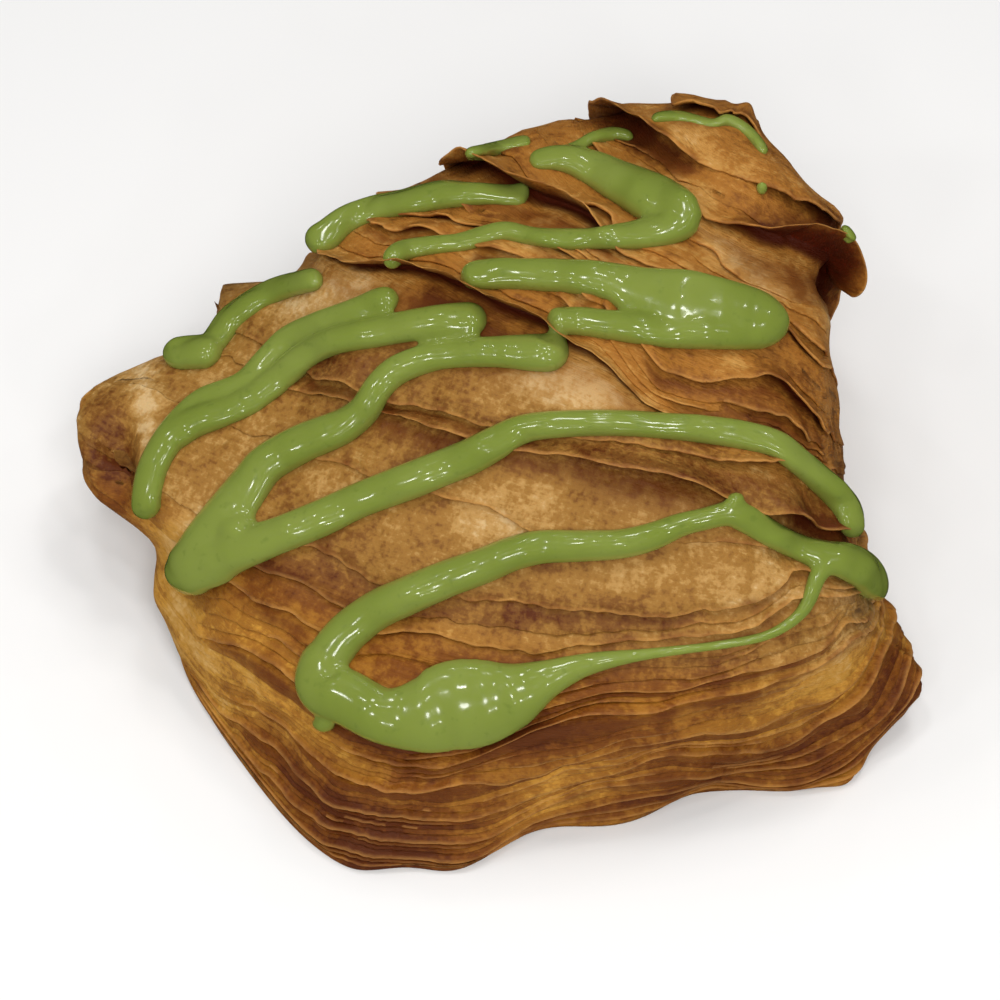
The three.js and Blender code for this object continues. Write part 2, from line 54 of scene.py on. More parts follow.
MM = 0.001
MIDDLE = np.array([0.11, 6.77, 0.0])  # middle of the rings' box, which is the part's origin
LEAF = 0.45  # thickness of a sheet at its free edge
ALONG_MM = 110.0  # length of the body from tip to underside, for each unit of "along"
COLUMNS = 430  # points round the body, few enough for under 200,000 triangles in each piece
DRIZZLE_TRIANGLES = 150000
TINY = 1e-12  # keeps directions without a length from being divided by nothing
PARTED_AFTER = "belly_lower"  # the pastry is two meshes, parted deep under this edge

# Rings round the body, from the pointed end (along 0) to the underside (along 1): the points at
# its left, front, right and back, and how squarely the ring's corners are drawn in.
RINGS = [
    (0.00, (11, 60, 44), (14, 57, 46), (17, 60, 42), (15, 63, 39), 1.0),
    (0.06, (4, 58, 43), (15, 47, 49), (24, 54, 40), (14, 63, 26), 1.0),
    (0.15, (-3, 55, 40), (18, 34, 48), (31, 44, 37), (12, 59, 8), 1.0),
    (0.30, (-21, 42, 36), (9, 20, 50), (36, 29, 36), (8, 53, 0), 1.0),
    (0.42, (-38, 27, 33), (10, 2, 47), (42, 14, 29), (5, 47, 0), 1.0),
    (0.55, (-47, 10, 24), (16, -9, 42), (44, 7, 23), (2, 42, 0), 1.0),
    (0.70, (-52, -9, 19), (16, -26, 29), (50, 2, 18), (1, 36, 0), 1.1),
    (0.80, (-48, -14, 13), (8, -38, 20), (55, 1, 13), (1, 32, 0), 1.3),
    (0.90, (-45, -18, 7), (1, -45, 11), (60, -2, 7), (1, 28, 0), 1.5),
    (1.00, (-39, -21, 0), (-2, -50.5, 0), (55, -8, 0), (2, 22, 0), 1.55),
]

# Swellings: side angle in degrees (0 left, 90 front, 180 right), place along the body, direction,
# rise, spread in degrees and reach along the body.
SWELLINGS = [
    (0, 0.635, (-1, -0.1, 0.1), 9.6, 11, 0.045),  # ear
    (-12, 0.56, (0.4, -0.6, -0.7), 1.4, 12, 0.035),  # slope behind the ear
    (12, 0.68, (-1, -0.3, 0), 5.4, 8, 0.03),  # middle of the ear
    (2, 0.752, (-1, -0.3, 0), 5.8, 9, 0.034),  # lower lobe of the ear
    (-8, 0.512, (-1, 0.1, 0), 6.2, 6, 0.012),  # knob
    (-2, 0.415, (0.9, -0.5, -0.5), 4.8, 12, 0.014),  # notch under the second band
    (24, 0.79, (1, 0, 0), 2, 13, 0.05),  # left side drawn in
    (4, 0.865, (1, 0, 0), 1.1, 9, 0.04),
    (48, 0.93, (0.7, 0.6, 0), 2.5, 14, 0.06),  # and below
    (188, 0.8, (-1, 0, 0), 1.8, 10, 0.035),  # right side drawn in
    (112, 0, (0, 0.5, 0.8), 1.2, 22, 0.02),  # top of the pointed end
    (196, 0.03, (-1, 0, 0), 1.4, 20, 0.03),  # its right side drawn in
    (178, 0.125, (1, 0, 0.1), 2.4, 16, 0.022),  # right side of the cap
    (106, 1, (0, 1, 0), 1, 8, 0.04),  # lowest point drawn in
    (-6, 0.464, (0.7, -0.4, -0.6), 4, 16, 0.016),  # waist above the knob
    (6, 0.24, (-0.3, 0.5, 0.8), 2.2, 14, 0.035),  # shoulder over the second band
    (186, 0.195, (-1, -0.1, -0.2), 3.2, 16, 0.03),  # waist inside the flap
    (202, 0.57, (1, -0.3, 0.3), 2.9, 10, 0.02),  # sheet that stands up at the right
    (200, 0.622, (-1, 0, 0), 1.4, 9, 0.018),  # hollow below it
    (158, 0.985, (0.7, -1, 0), 2.3, 9, 0.03),  # corner
    (166, 1, (1, -0.5, 0), 2, 3, 0.02),  # corner's point
    (146, 1, (-0.2, 1, 0), 3, 7, 0.06),  # hollow
    (141, 1, (-0.3, 1, 0), 1, 3, 0.03),  # hollow beside the front lobe
    (123, 1, (-0.3, 1, 0), 3.2, 6, 0.06),  # hollow
    (112, 1, (0.2, -1, 0), 2, 5, 0.03),  # front corner's bulge
]

# ------------------------------------------------------------------ camera

PICTURE = 1000  # marks on each side of the picture frame
LENS = 120.0
SENSOR = 36.0
MARKS_PER_TAN = PICTURE * LENS / SENSOR
CAMERA_TURN = math.radians(20)
CAMERA_TILT = math.radians(52)
CAMERA_AWAY = 450.0
MARKS_PER_MM = MARKS_PER_TAN / CAMERA_AWAY  # at the point that the camera aims at
AIM = np.array([0.0, -2.0, 22.0])
LOOK = np.array([
    -math.sin(CAMERA_TURN) * math.cos(CAMERA_TILT),
    math.cos(CAMERA_TURN) * math.cos(CAMERA_TILT),
    -math.sin(CAMERA_TILT),
])
ACROSS = np.array([math.cos(CAMERA_TURN), math.sin(CAMERA_TURN), 0.0])
UPWARD = np.cross(ACROSS, LOOK)
EYE = AIM - LOOK * CAMERA_AWAY


def marks_of(points):
    """Marks of the picture frame at which points of the rings' frame are seen."""
    away = np.asarray(points, float) - EYE
    depth = away @ LOOK
    half = PICTURE / 2
    return np.stack([half + MARKS_PER_TAN * (away @ ACROSS) / depth,
                     half - MARKS_PER_TAN * (away @ UPWARD) / depth], -1)


def ray_through(x, y):
    """Unit direction from the camera through a mark."""
    half = PICTURE / 2
    way = LOOK + ACROSS * (x - half) / MARKS_PER_TAN - UPWARD * (y - half) / MARKS_PER_TAN
    return way / np.linalg.norm(way)


# ------------------------------------------------------------------ smooth random relief

def ripple(points, wavelength, seed, waves=14):
    """Smooth random values, about -1 to 1, that vary over the wavelength in millimetres."""
    draw = np.random.default_rng(seed)
    total = np.zeros(points.shape[:-1])
    for _ in range(waves):
        way = draw.normal(size=3)
        way /= np.linalg.norm(way)
        pace = 2 * math.pi / wavelength * draw.uniform(0.65, 1.45)
        total += np.sin(points @ way * pace + draw.uniform(0, 2 * math.pi))
    return total / math.sqrt(waves)


def round_waves(degrees, terms, seed, amount, girth=1.0):
    """Random waves round the body. Each term is the fewest and most waves, and a share.

    The girth is how far round the body is there, as a share of its greatest: thin parts take fewer.
    """
    draw = np.random.default_rng(seed)
    total = np.zeros_like(degrees, float)
    for fewest, most, share in terms:
        for _ in range(3):
            count = max(1, round(draw.integers(fewest, most + 1) * girth))
            height = share * draw.uniform(0.5, 1.0)
            total += height * np.sin(np.radians(degrees) * count + draw.uniform(0, 2 * math.pi))
    return amount * total


def eased(t):
    """From 0 to 1, starting and stopping gently."""
    t = np.clip(t, 0, 1)
    return t * t * (3 - 2 * t)


# ------------------------------------------------------------------ bare body

RING_PLACES = np.array([ring[0] for ring in RINGS])
RING_VALUES = np.array([np.concatenate(ring[1:5] + ([ring[5]],)) for ring in RINGS])
RING_SLOPES = np.diff(RING_VALUES, axis=0) / np.diff(RING_PLACES)[:, None]
RING_SLOPES = np.vstack([RING_SLOPES[:1], (RING_SLOPES[:-1] + RING_SLOPES[1:]) / 2, RING_SLOPES[-1:]])


def rings_at(along):
    """Ring values at any place along the body, on smooth curves through the rings."""
    i = np.clip(np.searchsorted(RING_PLACES, along, side="right") - 1, 0, len(RING_PLACES) - 2)
    span = np.diff(RING_PLACES)[i][:, None]
    t = (along - RING_PLACES[i])[:, None] / span
    return ((2 * t**3 - 3 * t**2 + 1) * RING_VALUES[i] + (t**3 - 2 * t**2 + t) * span * RING_SLOPES[i]
            + (3 * t**2 - 2 * t**3) * RING_VALUES[i + 1] + (t**3 - t**2) * span * RING_SLOPES[i + 1])


CORNER_SOFT = 0.22  # how much the corners of a ring are rounded off


def cornered(share, square):
    """A share of the way round a ring, raised so that rings grow corners."""
    return np.abs(share) * ((share**2 + CORNER_SOFT**2) / (1 + CORNER_SOFT**2))**((square - 1) / 2)


def body(along, angle):
    """Points of the bare body at places along it and at side angles in radians."""
    along, angle = np.broadcast_arrays(np.asarray(along, float), np.asarray(angle, float))
    values = rings_at(along.ravel()).reshape(along.shape + RING_VALUES.shape[1:])
    left, front, right, back = (values[..., i:i + 3] for i in (0, 3, 6, 9))
    square = values[..., 12]
    centre, half = (left + right) / 2, (right - left) / 2
    cosine, sine = np.cos(angle), np.sin(angle)
    sideways = np.sign(cosine) * cornered(cosine, square)
    outward = cornered(sine, square)
    crest = np.where(sine[..., None] > 0, front - centre, back - centre)
    points = centre - half * sideways[..., None] + crest * outward[..., None]
    for degrees, place, way, rise, spread, reach in SWELLINGS:
        turned = (angle - math.radians(degrees) + math.pi) % (2 * math.pi) - math.pi
        share = np.exp(-(turned / math.radians(spread))**2 / 2 - ((along - place) / reach)**2 / 2)
        points = points + (rise * share)[..., None] * np.array(way)
    points[..., 2] = np.maximum(points[..., 2], 0)
    return points


def body_frame(along, angle):
    """Points, outward normals and millimetres for each unit of "along"."""
    nudge = 1e-3
    along = np.clip(along, 0, 1)
    before, after = np.clip(along - nudge, 0, 1), np.clip(along + nudge, 0, 1)
    down = (body(after, angle) - body(before, angle)) / (after - before)[..., None]
    across = body(along, angle + nudge) - body(along, angle - nudge)
    normal = np.cross(down, across)
    normal /= np.linalg.norm(normal, axis=-1, keepdims=True) + TINY
    return body(along, angle), normal, np.linalg.norm(down, axis=-1)


# ------------------------------------------------------------------ free edges of the sheets

# A named edge: "behind" is where it runs round the back, "tuck" how deep the gap under it reaches for
# each millimetre of gap, "thin" how many thin leaves show above it, and "curl" how late its sheet
# lifts. "bare" has side angles between which no thin leaves show, "marks" its marks with the gap
# there, and "ends" its points past the camera's view as (side angle, place, gap).
Sheet = namedtuple("Sheet", "behind tuck thin curl bare marks ends")
Edge = namedtuple("Edge", "place gap tuck curl named")  # place and gap at each of DEGREES

# Named edges from the pointed end down. A gap of -LEAF hides the edge.
SHEETS = {
    "curl": Sheet(behind=0.045, tuck=2, thin=0, curl=1.6, bare=[], marks=[
        (670, 104, 1), (680, 100, 1.5), (694, 98, 1.9), (708, 102, 1.8), (718, 110, 1.2), (728, 107, 0.9),
        (742, 108, 0.8), (756, 120, 0.4), (766, 138, -0.1), (772, 152, -0.45),
    ], ends=[(200, 0.06, -0.45)]),
    "cap_upper": Sheet(behind=0.115, tuck=2.2, thin=0, curl=1.4, bare=[], marks=[
        (612, 101, 5.6), (622, 103, 5.8), (634, 109, 5.6), (646, 120, 4.8), (660, 132, 4),
        (676, 144, 2.4), (692, 157, 0.8), (720, 170, 0), (745, 180, 0), (772, 188, 0.9), (790, 194, 1.5),
        (810, 203, 1.8), (830, 214, 1.6), (842, 222, 1),
    ], ends=[
        (20, 0.161, 4.7), (12, 0.171, 3.8), (4, 0.178, 2.3), (-4, 0.182, 2.4), (-12, 0.18, 3.8),
        (-20, 0.176, 3.4), (-30, 0.165, 2), (-45, 0.15, 0.6), (205, 0.12, 0.3),
    ]),
    "cap_lower": Sheet(behind=0.165, tuck=1.8, thin=1, curl=0.9, bare=[(-60, 20)], marks=[
        (610, 125, -0.4), (655, 160, -0.2), (690, 195, 0.2), (705, 213, 0.8), (725, 219, 1.4),
        (745, 221, 2.4), (760, 222, 3.6), (800, 223, 6.4), (825, 223, 7.4), (840, 228, 7.6),
    ], ends=[
        (150, 0.161, 6.4), (158, 0.166, 5.7), (166, 0.177, 5.9), (174, 0.188, 6.4), (182, 0.195, 6.4),
        (190, 0.209, 5.6), (200, 0.219, 4.6), (210, 0.222, 2.8), (228, 0.2, 0.8),
    ]),
    "band_two": Sheet(behind=0.29, tuck=2.2, thin=3, curl=1.4, bare=[(-40, 18), (172, 208)], marks=[
        (446, 160, 3.2), (457, 155, 4.2), (480, 160, 4.6), (500, 165, 4.6), (520, 170, 4.6),
        (545, 178, 4.4), (565, 188, 4), (582, 202, 3.4), (600, 224, 2), (620, 250, 0.6), (650, 264, 0.3),
        (700, 285, 0.3), (745, 305, 0.3), (782, 322, 0.5), (805, 345, 0.7), (822, 365, 0.5),
        (836, 392, 0),
    ], ends=[(14, 0.315, 1.2), (-10, 0.32, 0.5), (-34, 0.31, 0.4), (192, 0.34, -0.3), (206, 0.33, 0)]),
    "band_ledge": Sheet(behind=0.36, tuck=2, thin=2, curl=1.2, bare=[(-20, 22), (168, 208)], marks=[
        (400, 215, 0.2), (450, 218, 0.3), (520, 228, 0.3), (580, 250, 0.3), (620, 300, 0.3),
        (638, 345, 0.5), (660, 372, 0.8), (700, 381, 0.7), (740, 377, 0.9), (770, 373, 1.6),
        (795, 383, 2), (815, 405, 1.6), (835, 438, 0.2),
    ], ends=[(10, 0.37, 0), (190, 0.4, -0.3), (206, 0.38, 0)]),
    "band_three": Sheet(behind=0.42, tuck=2.4, thin=3, curl=1.8, bare=[(-20, 20), (166, 208)], marks=[
        (318, 256, 1.2), (340, 262, 2.2), (365, 258, 3), (400, 261, 3.4), (420, 265, 3.8),
        (440, 273, 4.5), (460, 282, 5), (480, 288, 5), (500, 297, 5), (520, 305, 5), (540, 318, 4.4),
        (556, 333, 3.8), (572, 340, 3.2), (590, 352, 2.4), (610, 368, 1.8), (640, 399, 0.8),
        (660, 407, 0.5), (700, 411, 0.6), (740, 419, 0.7), (780, 432, 0.8), (805, 447, 0.7),
        (838, 463, 0),
    ], ends=[
        (8, 0.42, 0.9), (0, 0.415, 0.6), (-8, 0.415, 0.5), (-30, 0.43, 0.4), (190, 0.44, -0.3),
        (206, 0.43, 0),
    ]),
    "band_four": Sheet(behind=0.5, tuck=2, thin=0, curl=1.4, bare=[], marks=[
        (225, 330, -0.4), (260, 345, 0.2), (305, 374, 0.9), (330, 382, 1.2), (355, 392, 1.2),
        (385, 400, 1.4), (420, 408, 1), (450, 413, 0.8), (480, 425, 0.5), (535, 437, 0.2),
        (600, 440, 0.1), (700, 453, 0.6), (740, 461, 1.2), (765, 459, 1.8), (795, 459, 1.8),
        (845, 500, 0),
    ], ends=[]),
    "belly_lip": Sheet(behind=0.535, tuck=2, thin=0, curl=1.4, bare=[], marks=[
        (200, 350, -0.4), (300, 392, 0.2), (385, 408, 1), (405, 417, 1.5), (430, 425, 1.5),
        (460, 434, 1.2), (480, 445, 0.5), (520, 450, 1.2), (560, 456, 2), (600, 463, 3), (650, 472, 3.4),
        (700, 485, 3), (722, 494, 1.6), (750, 507, 0.8), (780, 513, 2), (802, 509, 3.6), (822, 503, 4.5),
        (838, 507, 4.5), (850, 520, 3),
    ], ends=[]),
    "belly_upper": Sheet(behind=0.62, tuck=1.5, thin=0, curl=1.2, bare=[], marks=[
        (140, 385, -0.45), (200, 412, -0.45), (235, 425, -0.2), (300, 455, 0), (380, 480, 0.1),
        (433, 495, 0.3), (480, 505, 0.4), (515, 525, 0.3), (560, 540, 0), (640, 545, 0), (720, 540, 0),
        (800, 552, 0.3), (850, 548, 0.2),
    ], ends=[(0, 0.62, -0.45)]),
    "belly_fold": Sheet(behind=0.66, tuck=1.5, thin=0, curl=1.2, bare=[], marks=[
        (130, 470, -0.45), (200, 520, -0.3), (313, 546, 0.1), (350, 572, 0.2), (395, 592, 0.2),
        (460, 602, 0.1), (530, 605, 0.3), (560, 609, 0.5), (600, 612, 0.6), (640, 616, 0.6),
        (656, 620, 0.9), (675, 618, 0.4), (700, 611, 0.3), (740, 608, 0.4), (762, 603, 0.6),
        (780, 590, 0.7), (804, 569, 0.7), (850, 560, 0.3),
    ], ends=[(0, 0.66, -0.45)]),
    "belly_lower": Sheet(behind=0.7, tuck=1.6, thin=1, curl=1, bare=[(-25, 30)], marks=[
        (140, 520, -0.4), (165, 575, -0.3), (228, 583, 0.4), (250, 600, 0.7), (285, 613, 0.8),
        (322, 637, 0.5), (405, 628, 0.2), (450, 640, 0.3), (500, 650, 0.3), (540, 655, 0.3),
        (600, 643, 0.2), (640, 637, 0.3), (700, 636, 0.6), (740, 633, 0.8), (762, 624, 0.8),
        (780, 610, 0.8), (800, 597, 0.6), (860, 575, 0.3),
    ], ends=[(0, 0.71, -0.45)]),
    "stack_one": Sheet(behind=0.75, tuck=1.6, thin=3, curl=0.8, bare=[(-25, 38), (150, 208)], marks=[
        (147, 560, -0.45), (172, 608, -0.45), (200, 636, -0.2), (222, 643, 0.4), (240, 649, 1.1),
        (262, 664, 1.7), (285, 682, 1.8), (298, 698, 1.5), (320, 716, 0.9), (360, 735, 0.6),
        (430, 745, 0.6), (500, 726, 0.6), (540, 711, 0.6), (560, 701, 0.6), (600, 694, 0.5),
        (640, 693, 0.5), (680, 691, 0.7), (710, 684, 0.9), (740, 673, 1), (770, 668, 1), (790, 663, 1),
        (810, 657, 0.9), (830, 648, 0.8), (843, 635, 0.7), (850, 622, 0.3),
    ], ends=[(0, 0.75, -0.45)]),
    "stack_two": Sheet(behind=0.785, tuck=1.6, thin=2, curl=0.7, bare=[(-25, 78), (150, 208)], marks=[
        (150, 575, -0.45), (178, 625, -0.45), (215, 670, -0.45), (260, 694, -0.4), (300, 722, -0.2),
        (340, 748, 0), (380, 762, 0.3), (420, 772, 1.2), (450, 777, 1.6), (490, 762, 2.4),
        (520, 746, 3.2), (545, 731, 3.6), (572, 716, 3.6), (600, 708, 3.4), (650, 703, 3),
        (700, 697, 2.2), (740, 688, 1.6), (780, 680, 1.3), (800, 675, 1.1), (830, 664, 0.9),
        (850, 650, 0.8), (862, 632, 0.6), (868, 618, 0.2),
    ], ends=[(0, 0.785, -0.45)]),
    "stack_three": Sheet(behind=0.83, tuck=1.6, thin=3, curl=0.7, bare=[(-25, 84), (150, 208)], marks=[
        (155, 590, -0.45), (190, 655, -0.45), (215, 688, -0.4), (240, 704, 0), (262, 709, 0.4),
        (275, 720, 0.4), (290, 732, 0.3), (305, 750, 0.3), (320, 765, 0.7), (340, 780, 1.6),
        (380, 786, 3), (405, 789, 3.2), (440, 799, 3), (480, 801, 2.4), (520, 793, 1), (560, 777, 0.6),
        (600, 757, 0.6), (640, 752, 0.7), (665, 747, 0.9), (690, 738, 1.3), (720, 738, 1.5),
        (760, 737, 1.3), (775, 727, 1), (800, 715, 0.9), (830, 706, 0.9), (858, 685, 0.9),
        (868, 665, 0.8), (875, 645, 0.6), (878, 622, 0.2),
    ], ends=[(0, 0.83, -0.45)]),
    "stack_four": Sheet(behind=0.875, tuck=1.6, thin=3, curl=0.7, bare=[(-25, 90), (160, 208)], marks=[
        (160, 610, -0.45), (185, 662, -0.4), (200, 690, 0), (208, 699, 0.5), (226, 706, 0.9),
        (233, 722, 0.8), (250, 740, 1), (275, 755, 0.8), (286, 767, 0.8), (300, 785, 0.9),
        (315, 790, 1.3), (345, 800, 1), (365, 807, 1), (385, 814, 0.9), (405, 820, 0.9), (440, 825, 0.9),
        (475, 824, 0.8), (510, 817, 0.7), (540, 805, 0.7), (560, 799, 0.7), (600, 785, 0.7),
        (640, 767, 0.9), (665, 757, 1.3), (700, 757, 1.6), (720, 758, 1.6), (745, 756, 1.3),
        (770, 757, 0.9), (800, 748, 0.9), (820, 731, 1.4), (840, 720, 2.4), (856, 708, 3.4),
        (868, 700, 3.8), (881, 688, 3.8), (889, 673, 3.6), (893, 655, 3), (895, 642, 1.8),
    ], ends=[(0, 0.87, -0.3)]),
    "stack_five": Sheet(behind=0.92, tuck=1.6, thin=3, curl=0.7, bare=[(-25, 50), (166, 208)], marks=[
        (165, 630, -0.45), (205, 705, 0.2), (250, 760, 1), (280, 790, 1), (305, 805, 1), (335, 818, 1),
        (380, 834, 0.9), (420, 836, 0.8), (460, 833, 0.8), (500, 824, 0.7), (540, 812, 0.6),
        (580, 803, 0.7), (620, 790, 0.9), (660, 781, 0.8), (700, 781, 1), (740, 775, 1), (780, 772, 0.8),
        (820, 764, 0.9), (850, 750, 1), (880, 728, 1.4), (903, 700, 1.6), (911, 672, 1.6),
        (910, 645, 0.8),
    ], ends=[(0, 0.92, -0.2)]),
    "stack_six": Sheet(behind=0.96, tuck=1.6, thin=2, curl=0.7, bare=[(-25, 50), (166, 208)], marks=[
        (170, 640, -0.3), (215, 716, 0.3), (262, 790, 0.6), (300, 824, 0.8), (340, 845, 0.9),
        (380, 856, 0.9), (430, 855, 0.8), (470, 850, 0.8), (500, 838, 0.7), (540, 824, 0.5),
        (590, 812, 0.5), (640, 799, 0.5), (690, 787, 0.5), (760, 782, 0.5), (820, 775, 0.6),
        (855, 760, 0.6), (890, 730, 0.6), (912, 700, 0.6), (917, 670, 0.5),
    ], ends=[]),
}
# Short open slits between leaves: mark, half length in marks and how far the gap opens there.
SLITS = [
    (385, 233, 26, 0.9), (423, 228, 15, 1), (487, 254, 16, 0.8), (503, 251, 16, 0.8), (552, 251, 18, 0.6),
    (567, 301, 14, 0.9), (582, 300, 14, 0.9), (612, 310, 10, 0.9), (600, 201, 20, 1), (445, 216, 10, 0.6),
    (460, 206, 8, 0.6), (340, 371, 20, 0.6), (655, 366, 12, 0.6), (810, 345, 22, 0.7),
    (690, 401, 20, 0.6), (760, 411, 24, 0.7), (800, 424, 20, 0.8), (600, 155, 20, 0.5),
    (730, 272, 16, 0.4), (720, 240, 14, 0.4),
]
LAST_LEAVES = 2  # thin leaves under the lowest named edge
LAST_GAP = 0.35
RECESS_FOR_GAP = 1.3  # clear millimetres below a lip for each millimetre of its gap
BANDS_END = 0.55  # place along the body above which the thin leaves lie flatter
THIN_GAPS = {"bands": (-0.06, 0.15), "stack": (0.06, 0.20)}  # gap of a thin leaf, and how it varies
BARE_EASED = 8.0  # degrees over which a thin leaf comes up past bare angles
THIN_TUCK = 1.6
LAST_TUCK = 1.5
CURL_THIN = 1.2  # how late a thin leaf lifts towards its free edge
THIN_TORN = 0.14  # unevenness of thin and named edges in millimetres
NAMED_TORN = 0.22
THIN_DRIFT = 0.20  # how far thin leaves wander, as a share of the room between named edges
DRIFT_ENDS = (0.05, 0.95)
CLEAR_MOST = 0.6  # most of the room between two named edges that a hollow may take
THIN_GIRTH, GIRTH_FOR_PLACE = 0.28, 1.1  # girth of the pointed end, and its growth along the body
NAMED_SWING = 0.10  # how much the gap of a named edge varies
GAP_FOR_SWING = 0.25  # and by how many millimetres more
CHIPS = (3, 7)  # fewest chips out of an edge, and one more than most
CHIP_DEPTH = (0.8, 2.0)  # for each millimetre of unevenness
CHIP_REACH = (0.8, 2.4)  # degrees
SHOWN_MIDDLE, SHOWN_SWING = 0.75, 0.8
TORN_WAVES = [(14, 36, 0.55), (50, 100, 0.25), (150, 260, 0.06)]  # fewest, most, share
DRIFT_WAVES = [(2, 5, 0.6), (7, 14, 0.2)]
LAST_WAVES = [(2, 5, 0.6), (7, 14, 0.3)]
SHOWN_WAVES = [(3, 7, 0.6), (9, 16, 0.4)]
GAP_WAVES = [(2, 6, 0.5), (8, 18, 0.3), (24, 50, 0.08)]
NAMED_GAP_WAVES = [(8, 20, 0.6), (24, 44, 0.25)]
SLIT_SHIFT = 0.004  # how far a slit draws an edge to it, as a share of the body
SLIT_SPAN = 4  # steps of DEGREES over which marks are measured at a slit
LEAST_STEP = 0.3  # fewest marks for a step of DEGREES

DEGREES = np.arange(0, 360, 0.5)
BEHIND_GAP = 0.6  # gap of a named edge round the back
BEHIND_REACH = 45  # degrees over which an edge settles to its place behind
SOFTENED = 3.2  # how far waypoints are rounded off, in steps of DEGREES
MISS_MOST = 10  # marks by which a waypoint may miss the body
GRID_ROWS, GRID_COLUMNS = 321, 301
GRID_ANGLES = (-60, 240)  # side angles of the grid
EDGE_ON = 0.15  # how far past edge-on a face may turn and still count as seen


def soften(values, spread):
    """Values round the body, smoothed."""
    reach = int(4 * spread) + 2
    steps = np.arange(-reach, reach + 1)
    weights = np.exp(-(steps / spread)**2 / 2)
    weights /= weights.sum()
    wrapped = np.concatenate([values[-reach:], values, values[:reach]])
    return np.convolve(wrapped, weights, mode="valid")


def closed_curve(degrees, values, behind):
    """A value at each of DEGREES, from values at some side angles."""
    order = np.argsort(degrees)
    degrees = np.asarray(degrees, float)[order]
    values = np.asarray(values, float)[order]
    apart = np.concatenate([[True], np.diff(degrees) > 1.0])
    degrees, values = degrees[apart], values[apart]
    first, last = degrees[0], degrees[-1]
    knots = np.concatenate([[last - 360 + BEHIND_REACH, first - BEHIND_REACH], degrees,
                            [last + BEHIND_REACH, first + 360 - BEHIND_REACH]])
    heights = np.concatenate([[behind] * 2, values, [behind] * 2])
    curve = np.interp(DEGREES, knots, heights)
    past = DEGREES > first + 360 - BEHIND_REACH
    return soften(np.where(past, np.interp(DEGREES - 360, knots, heights), curve), SOFTENED)


def facing_grid():
    """A grid of the bare body, and which of it faces the camera."""
    along = np.linspace(0, 1, GRID_ROWS)[:, None] + np.zeros((1, GRID_COLUMNS))
    angle = np.radians(np.linspace(*GRID_ANGLES, GRID_COLUMNS))[None, :] + np.zeros((GRID_ROWS, 1))
    points, normals, _ = body_frame(along, angle)
    view = points - EYE
    faces = (normals * view).sum(-1) < EDGE_ON * np.linalg.norm(view, axis=-1)
    return along, angle, points, normals, faces


GRID = facing_grid()


def spot_at(x, y, offset):
    """Grid index of the body point that shows at a mark when raised by the offset, and the miss."""
    _, _, points, normals, faces = GRID
    seen = marks_of(points + normals * offset)
    miss = np.where(faces, ((seen - np.array([x, y]))**2).sum(-1), np.inf)
    best = np.unravel_index(np.argmin(miss), miss.shape)
    return best, math.sqrt(miss[best])


def named_curve(sheet):
    """Place along the body and gap at each of DEGREES for one named edge."""
    along, angle = GRID[:2]
    found = []
    for x, y, gap in sheet.marks:
        best, miss = spot_at(x, y, LEAF + gap)
        if miss < MISS_MOST:
            found.append((math.degrees(angle[best]), along[best], gap))
    degrees, places, gaps = zip(*(found + sheet.ends))
    return closed_curve(degrees, places, sheet.behind), closed_curve(degrees, gaps, BEHIND_GAP)


def turned_from(degrees):
    """How far each of DEGREES is turned from a side angle, -180 to 180."""
    return (DEGREES - degrees + 180) % 360 - 180


def ragged(seed, amount, girth):
    """Unevenness of a torn edge round the body, in millimetres, with a chip here and there."""
    draw = np.random.default_rng(seed)
    uneven = round_waves(DEGREES, TORN_WAVES, seed, amount, girth)
    for _ in range(draw.integers(*CHIPS)):
        off = turned_from(draw.uniform(0, 360))
        depth = amount * draw.uniform(*CHIP_DEPTH)
        uneven -= depth * np.exp(-(off * girth / draw.uniform(*CHIP_REACH))**4)
    return uneven


def showing(bare, seed, girth):
    """Share, 0 to 1, by which a thin leaf shows: it starts and stops, and not between bare angles."""
    share = eased(SHOWN_MIDDLE + round_waves(DEGREES, SHOWN_WAVES, seed, SHOWN_SWING, girth))
    for first, last in bare:
        middle, half = (first + last) / 2, (last - first) / 2
        off = np.abs(turned_from(middle))
        share = share * eased((off - half) / BARE_EASED)
    return share


def open_slits(edges):
    """Opens gaps in the edges nearest to the slits, and draws those edges to them."""
    turned = np.radians(DEGREES)
    spots = []
    for edge in edges:
        points, normals, _ = body_frame(edge.place, turned)
        view = points - EYE
        faces = (normals * view).sum(-1) < 0
        seen = marks_of(points + normals * (LEAF + edge.gap)[:, None])
        spots.append(np.where(faces[:, None], seen, np.inf))
    spots = np.array(spots)
    for x, y, half, more in SLITS:
        miss = ((spots - np.array([x, y]))**2).sum(-1)
        k, column = np.unravel_index(np.argmin(miss), miss.shape)
        best, _ = spot_at(x, y, LEAF + more)
        ahead = (column + SLIT_SPAN) % len(DEGREES)
        step = np.linalg.norm(spots[k, ahead] - spots[k, column]) / SLIT_SPAN
        reach = half / max(step, LEAST_STEP) * (DEGREES[1] - DEGREES[0])
        off = turned_from(DEGREES[column])
        share = np.exp(-(off / reach)**4)
        place, gap = edges[k].place, edges[k].gap
        place += np.clip(GRID[0][best] - place[column], -SLIT_SHIFT, SLIT_SHIFT) * share
        gap += (np.maximum(gap, 0) - gap + more) * share


